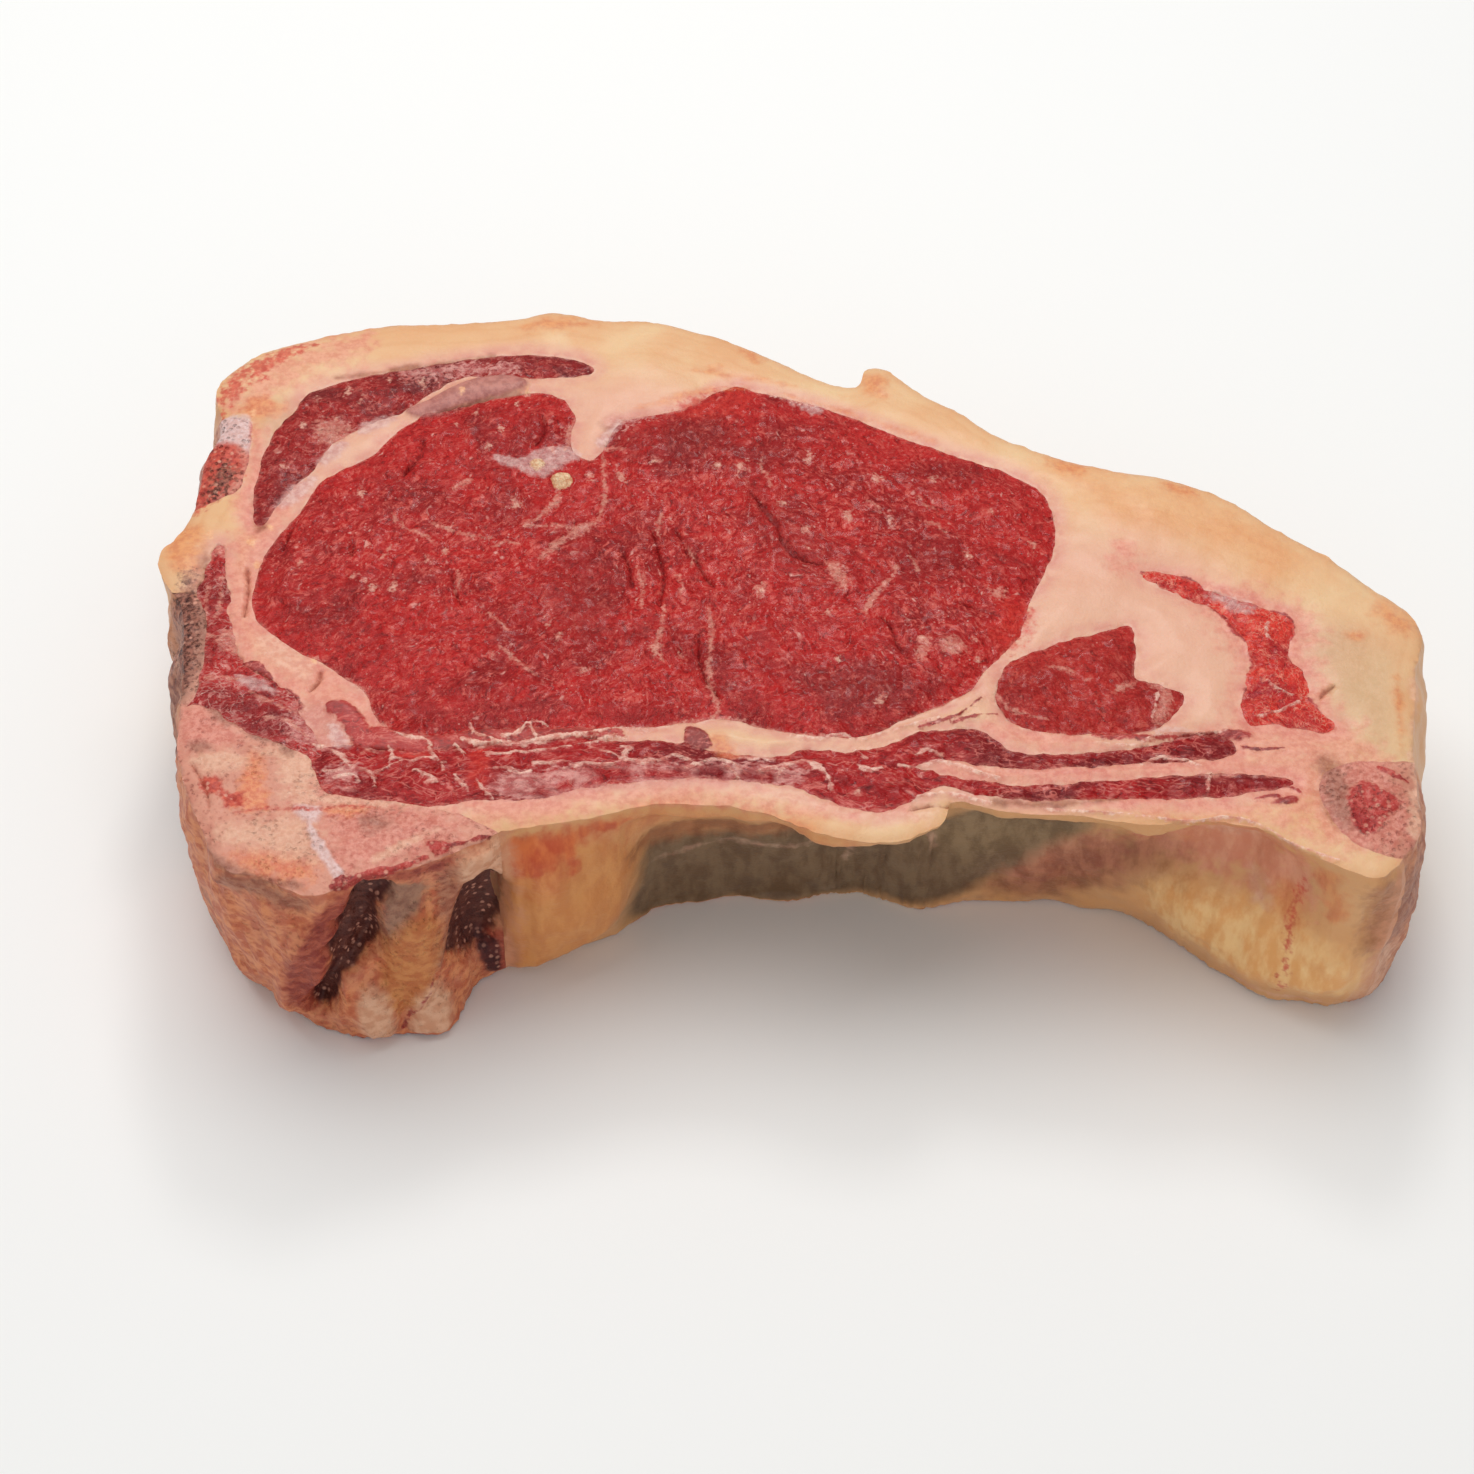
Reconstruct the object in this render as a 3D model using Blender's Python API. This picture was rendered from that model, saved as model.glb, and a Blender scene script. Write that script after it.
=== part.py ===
"""Raw bone-in club steak, one thick slice through the loin.

The slice is a lofted slab. Its cut face is drawn once as a plan: an outer rim, and inside it the
outlines of the muscles and bones. Whatever no outline claims is fat. Every muscle and bone runs
through the whole thickness, so each region of the plan becomes one closed solid with a top face,
an underside and walls. Between the two faces the plan is pushed in or out, so that the outer walls
bulge, flare or run back under the front ledge and the regions inside lean with them.

Millimetres in the plan, metres in the meshes, +Z up, origin under the middle of the slice.
"""

import math

import bpy
import numpy as np
from mathutils import Vector
from mathutils.geometry import delaunay_2d_cdt

MM = 0.001

# Driving dimensions, in millimetres
THICKNESS = 50.0
PLAN_SCALE = 1.0  # grows or shrinks the whole plan
GAP = 0.3  # between neighbouring solids
EDGE_DROP = 1.3  # how far the cut face falls at its rim
EDGE_WIDTH = 3.0  # over this distance
SWELL = 0.7  # slow waves of the cut face
SEAM_DIP = 0.6  # the cut face dips along the seams between muscle and fat
SEAM_WIDTH = 4.0
WALL_CRAG = 0.7  # roughness of the outer walls
BONE_CRAG = 1.3  # the sawn backbone is rougher
REACH = 22.0  # how deep the lean of the outer walls reaches into the slab
RIM_STEP = 4.3
REGION_STEP = 4.6
FACE_STEP = 8.5
CLEAR = 3.6  # grid points keep this far from an outline
SEED = 11

# Plan of the cut face, clockwise from the upper left corner
RIM = (
    (-118, 70), (-114, 77), (-106.7, 82), (-96.7, 85.7), (-84.7, 88.5), (-70, 89), (-58, 90),
    (-50, 92), (-40, 90), (-27, 89.3), (-15, 85), (-7, 81), (0, 76.7), (7, 72.5), (12.5, 71.8),
    (14.5, 76.5), (18.5, 76.7), (25, 70), (33, 64), (40, 57.3), (50, 51.3), (61, 47.3),
    (74, 44.3), (85, 38.8), (93, 32), (103, 24), (111.7, 15.3), (118, 9), (119.5, 2.5),
    (117.5, -5), (116, -14), (114.5, -24), (113.5, -34), (113, -45), (110, -50), (105, -55.7),
    (98, -53.5), (92, -50), (85, -45), (76, -42.7), (62, -43.5), (50, -41), (38, -40),
    (28, -37.4), (25.5, -43), (15, -47), (3, -45), (-8, -40.3), (-25, -38.5), (-40, -42.5),
    (-53, -44.5), (-57, -46), (-66, -52), (-80, -56.5), (-88, -60.5), (-98, -56.5),
    (-106, -53), (-112, -38), (-115.5, -25), (-116.5, -14), (-117.5, -4), (-118.8, 8),
    (-120.5, 13.5), (-124, 18), (-125, 24), (-121.5, 30), (-119.5, 38), (-118.5, 50),
    (-116, 58),
)

# Outer walls: at an anchor on the rim, how far the wall stands outside the cut face's edge at each
# height below it. A minus runs in under the edge.
HEIGHTS = (0.0, 0.14, 0.4, 0.66, 0.84, 0.93, 1.0)
SETTLED = (1.0, 1.0, 1.0, 1.0, 0.7, 0.2, 0.0)  # how far the rim's tags and folds are smoothed
WALLS = (
    ((-118, 70), (-1, 1, 3, 3, 2, 1)),
    ((-90, 87), (-2, 1, 3, 3.5, 2.5, 1.2)),
    ((25, 70), (-2, 1, 3, 3.5, 2.5, 1.2)),
    ((85, 39), (-2, 1, 3, 3.5, 2.5, 1.2)),
    ((118, 9), (0, 1.5, 3, 3, 2, 1)),
    ((116, -14), (3, 4, 4.5, 4, 2.5, 1.2)),
    ((113, -42), (2, 3, 3.5, 3, 2, 1)),
    ((105, -55.7), (-4, -1, 1, 1.5, 1.2, 0.5)),
    ((95, -52), (-2, -0.5, -0.5, -0.5, -0.5, 0)),
    ((85, -45), (-0.5, 0, -2, -4, -3, -0.5)),
    ((74, -43), (-8, -6, -6, -7.5, -5, -1)),
    ((62, -43.5), (-16, -13.5, -10.5, -9.5, -6.5, -1)),
    ((50, -41), (-17, -15, -12.5, -10, -7, -1.5)),
    ((28, -37.4), (-14, -13, -11, -9, -6, -1.5)),
    ((15, -47), (-24, -22.5, -20, -16.5, -11, -1.5)),
    ((3, -45), (-22, -20.5, -18, -14.5, -9, -1.5)),
    ((-10, -40), (-16.5, -15.5, -13.5, -10.5, -6, -1)),
    ((-27, -38.6), (-14, -13, -10.5, -8, -5, -1)),
    ((-35, -40.8), (-8, -6, -3.5, -2.5, -1.5, -0.3)),
    ((-46, -44), (-6, -3.5, -0.5, 0, 0, 0)),
    ((-53, -44.6), (-6, -6, -4, -3, -1, 0)),
    ((-58, -46.5), (-8, -9, -8, -5, -2.5, -0.8)),
    ((-67, -52.5), (3.5, 2, 0.5, 0, -0.5, 0)),
    ((-76, -55.5), (2.5, 0.5, -1, -1, -0.5, 0)),
    ((-88, -60.5), (-3, -1.5, -0.5, 0, 0.3, 0.5)),
    ((-106, -53), (-6, -3, 0, 1, 1, 0.5)),
    ((-115, -28), (0, 1.5, 2.5, 2.5, 1.5, 0.6)),
    ((-117.5, -4), (0, 2, 3, 3, 2, 1)),
    ((-125, 24), (-4, -2, 0, 1, 1, 0.5)),
    ((-119.5, 38), (0, 2, 3, 3, 2, 1)),
)

# Outlines of the bones and muscles. Where two overlap, the one named first keeps the place, and
# the ones that reach past the rim end at it.
REGIONS = {
    "vertebra": (
        (-122, -15.5), (-116, -14.5), (-110, -16.5), (-104, -21.5), (-97, -25), (-92, -27.5),
        (-90, -32), (-87, -36.8), (-78, -38), (-65, -41), (-57, -44.5), (-52, -52), (-66, -64),
        (-88, -72), (-110, -64), (-125, -44), (-126, -24),
    ),
    "spine_edge": (
        (-128, -13), (-116, -15), (-113.9, -6), (-114, 5), (-116, 12), (-120, 14.5),
        (-130, 14), (-132, 2),
    ),
    "spine_tip": (
        (-126, 61), (-112, 60.8), (-109.6, 55), (-110.3, 46), (-112.5, 40), (-126, 36),
        (-128, 48),
    ),
    "rib_bone": (
        (96, -33), (100, -30), (108, -29), (126, -30), (127, -49), (112, -50.8), (103, -50),
        (98.5, -46), (96, -39),
    ),
    "eye_muscle": (
        (-78, 60), (-85, 51), (-94.5, 43.5), (-98, 36), (-104.5, 23), (-105.5, 10), (-100, 2),
        (-92, -3.5), (-86.5, -8), (-82, -12), (-78.5, -20), (-70, -22.3), (-60, -21.3),
        (-45, -21), (-28, -20.5), (-14, -18.8), (-2, -22), (10, -23.2), (22, -18), (31, -13),
        (36, -6), (42, 2), (45, 12), (50, 25), (49.5, 38), (44, 44.5), (33, 50.5), (22, 56),
        (6, 64.7), (-6, 68.5), (-13, 70.5), (-24, 63), (-35, 60), (-38.7, 52.7), (-41.5, 49.6),
        (-45.5, 53), (-45, 62), (-51, 68), (-62, 66), (-72, 62.5),
    ),
    "cap_muscle": (
        (-41.3, 74.8), (-47, 78), (-60, 79), (-76, 76), (-90, 72.5), (-99, 68), (-101.5, 63),
        (-105.5, 56), (-108, 43), (-107.6, 34), (-105.5, 31.5), (-101.5, 39.5), (-96.5, 46.5),
        (-93.5, 53), (-87.5, 58.5), (-80, 63), (-73.5, 69), (-67, 72.9), (-56, 72.3),
        (-45, 72.4),
    ),
    "back_muscle": (
        (-113.5, 26), (-111.5, 20), (-110, 8), (-107, -2.5), (-101, -8), (-96, -12),
        (-93.5, -18), (-90, -26), (-94, -31), (-106, -27), (-116, -20), (-119, 0), (-116.5, 16),
    ),
    "rib_muscle": (
        (-88.5, -25), (-76, -25.8), (-66, -26.2), (-52, -24.6), (-40, -24), (-24, -24.2),
        (-16, -26.8), (-6, -27.6), (2, -26), (12, -26.4), (22, -22.3), (33, -21.8), (40, -27),
        (50, -27.2), (65, -25), (76, -22.3), (81, -24), (78, -28), (60, -29.6), (42, -31),
        (28, -29.2), (21.5, -30), (27, -31.6), (40, -34.6), (60, -33.2), (80, -31.3),
        (91, -33.6), (84, -36), (70, -37.4), (50, -38), (36, -37), (26, -34.6), (20, -38),
        (14, -40.2), (5, -38), (-4, -34), (-20, -33), (-35, -34.5), (-50, -37.6), (-62, -38.8),
        (-80, -40), (-90, -38), (-92, -30),
    ),
    "side_muscle": (
        (39.8, -5), (50, 0.5), (58, 3), (63.5, 4.7), (64.5, -2), (63.5, -8), (68, -10.3),
        (72.5, -12.5), (70.5, -17), (66, -21.3), (57, -22.3), (47, -22.3), (39.5, -20),
        (36.8, -15), (37.3, -9.5),
    ),
    "flank_streak": (
        (67, 18.4), (75, 17), (84, 11.8), (90, 9.5), (95, 5), (93.3, -2), (96, -9), (96, -14),
        (100, -21), (92, -20.3), (84, -19), (83.6, -13), (86, -3), (84, 3), (80.5, 8.7),
        (73, 13.2),
    ),
}
FAT = "fat"

# Regions near the outer walls follow every height of them, the others only a few
NEAR_WALL = ("vertebra", "spine_edge", "spine_tip", "rib_bone", "back_muscle", "rib_muscle")
FEW_HEIGHTS = (0.0, 0.4, 0.84, 1.0)

# Colour and roughness of each solid
LOOKS = {
    "fat": ((0.83, 0.56, 0.32), 0.45),
    "eye_muscle": ((0.38, 0.035, 0.035), 0.40),
    "cap_muscle": ((0.33, 0.030, 0.032), 0.40),
    "side_muscle": ((0.36, 0.032, 0.030), 0.40),
    "rib_muscle": ((0.36, 0.035, 0.035), 0.40),
    "back_muscle": ((0.27, 0.022, 0.026), 0.42),
    "flank_streak": ((0.46, 0.040, 0.030), 0.38),
    "vertebra": ((0.62, 0.30, 0.20), 0.60),
    "spine_edge": ((0.30, 0.13, 0.09), 0.65),
    "spine_tip": ((0.50, 0.32, 0.30), 0.55),
    "rib_bone": ((0.60, 0.30, 0.24), 0.58),
}


def closed_curve(points, step):
    """Even points along a smooth closed curve through the given ones."""
    knots = np.array(points, float) * PLAN_SCALE
    before = np.roll(knots, 1, 0)
    after = np.roll(knots, -1, 0)
    beyond = np.roll(knots, -2, 0)
    fine = []
    for u in np.linspace(0, 1, 12, endpoint=False):
        fine.append(0.5 * (
            2 * knots
            + (after - before) * u
            + (2 * before - 5 * knots + 4 * after - beyond) * u**2
            + (3 * knots - before - 3 * after + beyond) * u**3
        ))
    dense = np.stack(fine, 1).reshape(-1, 2)
    return even(dense, step)


def even(dense, step):
    """The closed polyline again, with points at even distances."""
    ring = np.vstack([dense, dense[:1]])
    run = np.concatenate([[0], np.cumsum(np.hypot(*np.diff(ring, axis=0).T))])
    count = max(8, round(run[-1] / step))
    at = np.linspace(0, run[-1], count, endpoint=False)
    return np.stack([np.interp(at, run, ring[:, 0]), np.interp(at, run, ring[:, 1])], 1)


def inside(points, ring):
    """Which points lie inside a closed polyline."""
    x, y = points[:, 0], points[:, 1]
    hit = np.zeros(len(points), bool)
    for (ax, ay), (bx, by) in zip(ring, np.roll(ring, -1, 0)):
        if ay == by:
            continue
        crosses = (ay > y) != (by > y)
        hit ^= crosses & (x < (bx - ax) * (y - ay) / (by - ay) + ax)
    return hit


def nearest(points, others):
    """Distance from each point to the closest of the others."""
    gaps = points[:, None, :] - others[None, :, :]
    return np.sqrt((gaps**2).sum(2).min(1))


def wave(turn, seed, counts, size):
    """A smooth, repeatable wobble of a position 0..1 around the rim."""
    dice = np.random.default_rng(seed)
    total = np.zeros_like(turn)
    for count in counts:
        total += np.sin(2 * math.pi * (count * turn + dice.random())) * dice.uniform(0.5, 1)
    return total * size / math.sqrt(len(counts))


class Walls:
    """The outer walls: where the plan's points go at each height."""

    def __init__(self):
        self.rim = closed_curve(RIM, 2.0)
        count = len(self.rim)
        along = np.roll(self.rim, -1, 0) - np.roll(self.rim, 1, 0)
        along /= np.hypot(*along.T)[:, None]
        for _ in range(60):  # softened, so that a notch in the rim doesn't throw its wall about
            along = along + np.roll(along, 1, 0) + np.roll(along, -1, 0)
            along /= np.hypot(*along.T)[:, None]
        self.outward = np.stack([-along[:, 1], along[:, 0]], 1)  # the rim runs clockwise
        self.calm = np.stack([soften(self.rim[:, i], 25) for i in (0, 1)], 1) - self.rim
        self.out = self.profiles(np.arange(count) / count)

    def profiles(self, turn):
        """Outward offset of every rim point at every height."""
        places = []
        for anchor, _ in WALLS:
            gap = self.rim - np.array(anchor) * PLAN_SCALE
            places.append(int((gap**2).sum(1).argmin()) / len(self.rim))
        order = np.argsort(places)
        places = np.array(places)[order]
        table = np.array([WALLS[i][1] for i in order], float)
        offsets = np.zeros((len(turn), len(HEIGHTS)))
        for level in range(len(HEIGHTS) - 1):
            wrapped = np.concatenate([places[-1:] - 1, places, places[:1] + 1])
            values = np.concatenate([table[-1:, level], table[:, level], table[:1, level]])
            offsets[:, level] = np.interp(turn, wrapped, values)
            offsets[:, level] = soften(offsets[:, level], 3)
            rough = np.where(self.by_bone(), BONE_CRAG, WALL_CRAG)
            offsets[:, level] += wave(turn, SEED + level, (23, 31, 41, 53), 1.0) * rough
        return offsets

    def by_bone(self):
        """Rim points along the sawn backbone."""
        return (self.rim[:, 0] < -55 * PLAN_SCALE) & (self.rim[:, 1] < 22 * PLAN_SCALE)

    def push(self, points, height):
        """Sideways move of plan points at one height, strongest at the rim."""
        out = np.array([np.interp(height, HEIGHTS, row) for row in self.out])
        moves = self.outward * out[:, None] + self.calm * np.interp(height, HEIGHTS, SETTLED)
        gaps = points[:, None, :] - self.rim[None, :, :]
        weight = 1 / ((gaps**2).sum(2) + 0.5) ** 1.5
        still = 2 / (2.0 * REACH**2)  # the rim points stand 2 mm apart
        return weight @ moves / (weight.sum(1) + still)[:, None]


def soften(values, times):
    """A closed row of values, smoothed."""
    for _ in range(times):
        values = (values + np.roll(values, 1) + np.roll(values, -1)) / 3
    return values


def face_grid(rim, outlines, dice):
    """Inner points of the cut face: a loosened hexagon grid clear of every outline."""
    low = rim.min(0)
    high = rim.max(0)
    rows = int((high[1] - low[1]) / (FACE_STEP * 0.866)) + 1
    columns = int((high[0] - low[0]) / FACE_STEP) + 1
    grid = []
    for row in range(rows):
        for column in range(columns):
            x = low[0] + (column + row % 2 / 2) * FACE_STEP
            grid.append((x, low[1] + row * FACE_STEP * 0.866))
    grid = np.array(grid) + dice.uniform(-0.12, 0.12, (len(grid), 2)) * FACE_STEP
    grid = grid[inside(grid, rim)]
    return grid[nearest(grid, np.vstack([rim, *outlines])) > CLEAR]


def divide(rim, outlines):
    """Triangles of the plan, with every outline kept as edges, and the region of each."""
    dice = np.random.default_rng(SEED)
    points = [Vector(p) for p in face_grid(rim, outlines, dice)]
    edges = []
    for ring in [rim, *outlines]:
        first = len(points)
        points += [Vector(p) for p in ring]
        edges += [(first + i, first + (i + 1) % len(ring)) for i in range(len(ring))]
    corners, _, faces, *_ = delaunay_2d_cdt(points, edges, [], 0, 0.25, False)
    corners = np.array(corners)
    faces = np.array(faces)
    middles = corners[faces].mean(1)
    owner = np.full(len(faces), len(outlines))
    for index in reversed(range(len(outlines))):
        owner[inside(middles, outlines[index])] = index
    kept = inside(middles, rim)
    return corners, faces[kept], owner[kept]


def boundary(faces):
    """Edges used once, in the direction that keeps the faces on the left."""
    seen = {}
    for face in faces:
        for a, b in zip(face, np.roll(face, -1)):
            seen[(int(a), int(b))] = True
    return [edge for edge in seen if (edge[1], edge[0]) not in seen]


def inset(corners, edges, on_rim):
    """Move of each corner that draws a region back from its neighbours by half the gap."""
    normals = {}
    for a, b in edges:
        if (a, b) in on_rim:
            continue
        along = corners[b] - corners[a]
        along = along / np.hypot(*along)
        inward = np.array([-along[1], along[0]])
        for corner in (a, b):
            normals.setdefault(corner, []).append(inward)
    moves = {}
    for corner, around in normals.items():
        middle = np.mean(around, 0)
        length = max(np.hypot(*middle), 0.6)
        moves[corner] = middle / length**2 * GAP / 2
    return moves


def lift(points, rim, seams):
    """Height of the cut face above the flat, in millimetres."""
    drop = EDGE_DROP * np.exp(-nearest(points, rim) / EDGE_WIDTH)
    dip = SEAM_DIP * np.exp(-((nearest(points, seams) / SEAM_WIDTH) ** 2))
    x, y = points[:, 0], points[:, 1]
    swell = np.sin(x / 31 + 0.6) * np.cos(y / 24 - 0.4) + 0.5 * np.sin(x / 13 + y / 17)
    return SWELL * swell - drop - dip


def build_solid(name, plan, walls, faces, edges, moves, heights_of):
    """One region as a closed mesh: underside, cut face, and walls through the heights."""
    corners, tops = plan
    vertices = []
    index = {}

    def place(corner, height):
        key = (corner, height)
        if key not in index:
            flat = corners[corner] + moves.get(corner, 0)
            x, y = flat + walls[height][corner]
            index[key] = len(vertices)
            vertices.append((x, y, height * THICKNESS + height**3 * tops[corner]))
        return index[key]

    polygons = []
    for a, b, c in faces.tolist():
        polygons.append((place(a, 1.0), place(b, 1.0), place(c, 1.0)))
        polygons.append((place(c, 0.0), place(b, 0.0), place(a, 0.0)))
    for a, b in edges:
        steps = heights_of[a, b]
        for low, high in zip(steps, steps[1:]):
            foot_a, foot_b = place(a, low), place(b, low)
            head_a, head_b = place(a, high), place(b, high)
            if a < b:
                polygons += [(foot_a, foot_b, head_b), (foot_a, head_b, head_a)]
            else:
                polygons += [(foot_a, foot_b, head_a), (foot_b, head_b, head_a)]
    return name, np.array(vertices), polygons


def plan_solids():
    """Every region's vertices and polygons, in plan millimetres."""
    rim = closed_curve(RIM, RIM_STEP)
    names = list(REGIONS)
    outlines = [closed_curve(REGIONS[name], REGION_STEP) for name in names]
    walls = Walls()
    corners, faces, owner = divide(rim, outlines)
    on_rim = set(boundary(faces))
    levels = sorted(set(HEIGHTS) | set(FEW_HEIGHTS))
    pushed = {height: walls.push(corners, height) for height in levels}
    tops = lift(corners, rim, np.vstack(outlines))
    borders = {index: boundary(faces[owner == index]) for index in range(len(names) + 1)}
    near = {edge for i, name in enumerate(names) if name in NEAR_WALL for edge in borders[i]}
    heights_of = {}
    for edges in borders.values():
        for a, b in edges:
            full = (a, b) in on_rim or (a, b) in near or (b, a) in near
            heights_of[a, b] = HEIGHTS if full else FEW_HEIGHTS
    solids = []
    for index, name in enumerate([*names, FAT]):
        edges = borders[index]
        moves = inset(corners, edges, on_rim)
        mine = faces[owner == index]
        solids.append(build_solid(name, (corners, tops), pushed, mine, edges, moves, heights_of))
    return solids


def material(name):
    """A solid's own material."""
    colour, roughness = LOOKS[name]
    mat = bpy.data.materials.new(name)
    mat.use_nodes = True
    shader = mat.node_tree.nodes["Principled BSDF"]
    shader.inputs["Base Color"].default_value = (*colour, 1)
    shader.inputs["Roughness"].default_value = roughness
    shader.inputs["Metallic"].default_value = 0
    mat.diffuse_color = (*colour, 1)
    return mat


def clear():
    """Start from an empty scene."""
    for ob in list(bpy.data.objects):
        bpy.data.objects.remove(ob, do_unlink=True)


def main():
    clear()
    solids = plan_solids()
    everything = np.vstack([vertices for _, vertices, _ in solids])
    low = everything.min(0)
    high = everything.max(0)
    middle = np.array([(low[0] + high[0]) / 2, (low[1] + high[1]) / 2, 0])
    root = bpy.data.objects.new("club_steak_root", None)
    bpy.context.collection.objects.link(root)
    for name, vertices, polygons in solids:
        mesh = bpy.data.meshes.new(name)
        mesh.from_pydata(((vertices - middle) * MM).tolist(), [], polygons)
        mesh.materials.append(material(name))
        mesh.update()
        ob = bpy.data.objects.new(name, mesh)
        ob.parent = root
        bpy.context.collection.objects.link(ob)
        print(name, len(polygons), "triangles")
    print("origin in the plan", middle.round(3), "size", (high - low).round(2))


main()
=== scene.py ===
# %% [markdown]
# # A raw club steak, dressed
# A club steak is one thick slice through the loin: a large eye of lean, smaller muscles round it, a
# broad edge of fat, and the sawn backbone at one end. The solids of the slice are already packed as a
# frame, and each of them is replaced here by a fine mesh of the same form, with the roughness, the
# creases and the colours of raw meat. Everything is worked out in millimetres and turned into metres
# when a mesh is made.

# %% Load the frame
import math

import bpy
import numpy as np
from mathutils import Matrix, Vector
from mathutils.bvhtree import BVHTree
from mathutils.geometry import delaunay_2d_cdt
from mathutils.kdtree import KDTree


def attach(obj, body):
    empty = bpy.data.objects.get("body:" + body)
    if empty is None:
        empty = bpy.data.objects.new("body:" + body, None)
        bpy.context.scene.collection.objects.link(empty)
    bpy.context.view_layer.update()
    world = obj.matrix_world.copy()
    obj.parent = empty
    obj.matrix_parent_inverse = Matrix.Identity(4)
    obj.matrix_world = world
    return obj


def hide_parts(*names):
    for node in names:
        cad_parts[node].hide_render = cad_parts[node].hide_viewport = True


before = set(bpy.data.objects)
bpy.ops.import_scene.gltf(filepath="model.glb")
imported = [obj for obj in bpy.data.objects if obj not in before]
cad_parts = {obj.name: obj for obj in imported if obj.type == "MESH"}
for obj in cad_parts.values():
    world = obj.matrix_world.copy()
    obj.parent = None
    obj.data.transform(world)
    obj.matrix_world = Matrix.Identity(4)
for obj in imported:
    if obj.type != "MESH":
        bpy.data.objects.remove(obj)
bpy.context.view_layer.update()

MM = 0.001
print("the frame holds", sorted(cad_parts))

# %% [markdown]
# ## The plan of the slice
# The cut face could be modelled by hand with sculpting tools, but an outline that is named once can be
# used three times: for the shape, for the seams and for the colours. So the slice starts as a plan,
# seen from above: an outer rim, and an outline for every muscle and bone. What no outline claims is
# fat. The numbers are places on the real slice in millimetres, and its solids follow the same lines to
# within a millimetre.

# %% Name the driving sizes and the outlines
THICKNESS = 50.0
PLAN_ORIGIN = (-1.384, 17.325)  # the plan point that lies over the frame's origin
SEED = 11

RIM = (
    (-118, 70), (-114, 77), (-106.7, 82), (-96.7, 85.7), (-84.7, 88.5), (-70, 89), (-58, 90),
    (-50, 92), (-40, 90), (-27, 89.3), (-15, 85), (-7, 81), (0, 76.7), (7, 72.5), (12.5, 71.8),
    (14.5, 76.5), (18.5, 76.7), (25, 70), (33, 64), (40, 57.3), (50, 51.3), (61, 47.3),
    (74, 44.3), (85, 38.8), (93, 32), (103, 24), (111.7, 15.3), (118, 9), (119.5, 2.5),
    (117.5, -5), (116, -14), (114.5, -24), (113.5, -34), (113, -45), (110, -50), (105, -55.7),
    (98, -53.5), (92, -50), (85, -45), (76, -42.7), (62, -43.5), (50, -41), (38, -40),
    (28, -37.4), (25.5, -43), (15, -47), (3, -45), (-8, -40.3), (-25, -38.5), (-40, -42.5),
    (-53, -44.5), (-57, -46), (-66, -52), (-80, -56.5), (-88, -60.5), (-98, -56.5),
    (-106, -53), (-112.8, -38), (-116.3, -25), (-117, -14), (-117.5, -4), (-118.8, 8),
    (-120.5, 13.5), (-124, 18), (-125, 24), (-121.5, 30), (-119.5, 38), (-118.5, 50),
    (-116, 58),
)
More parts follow.
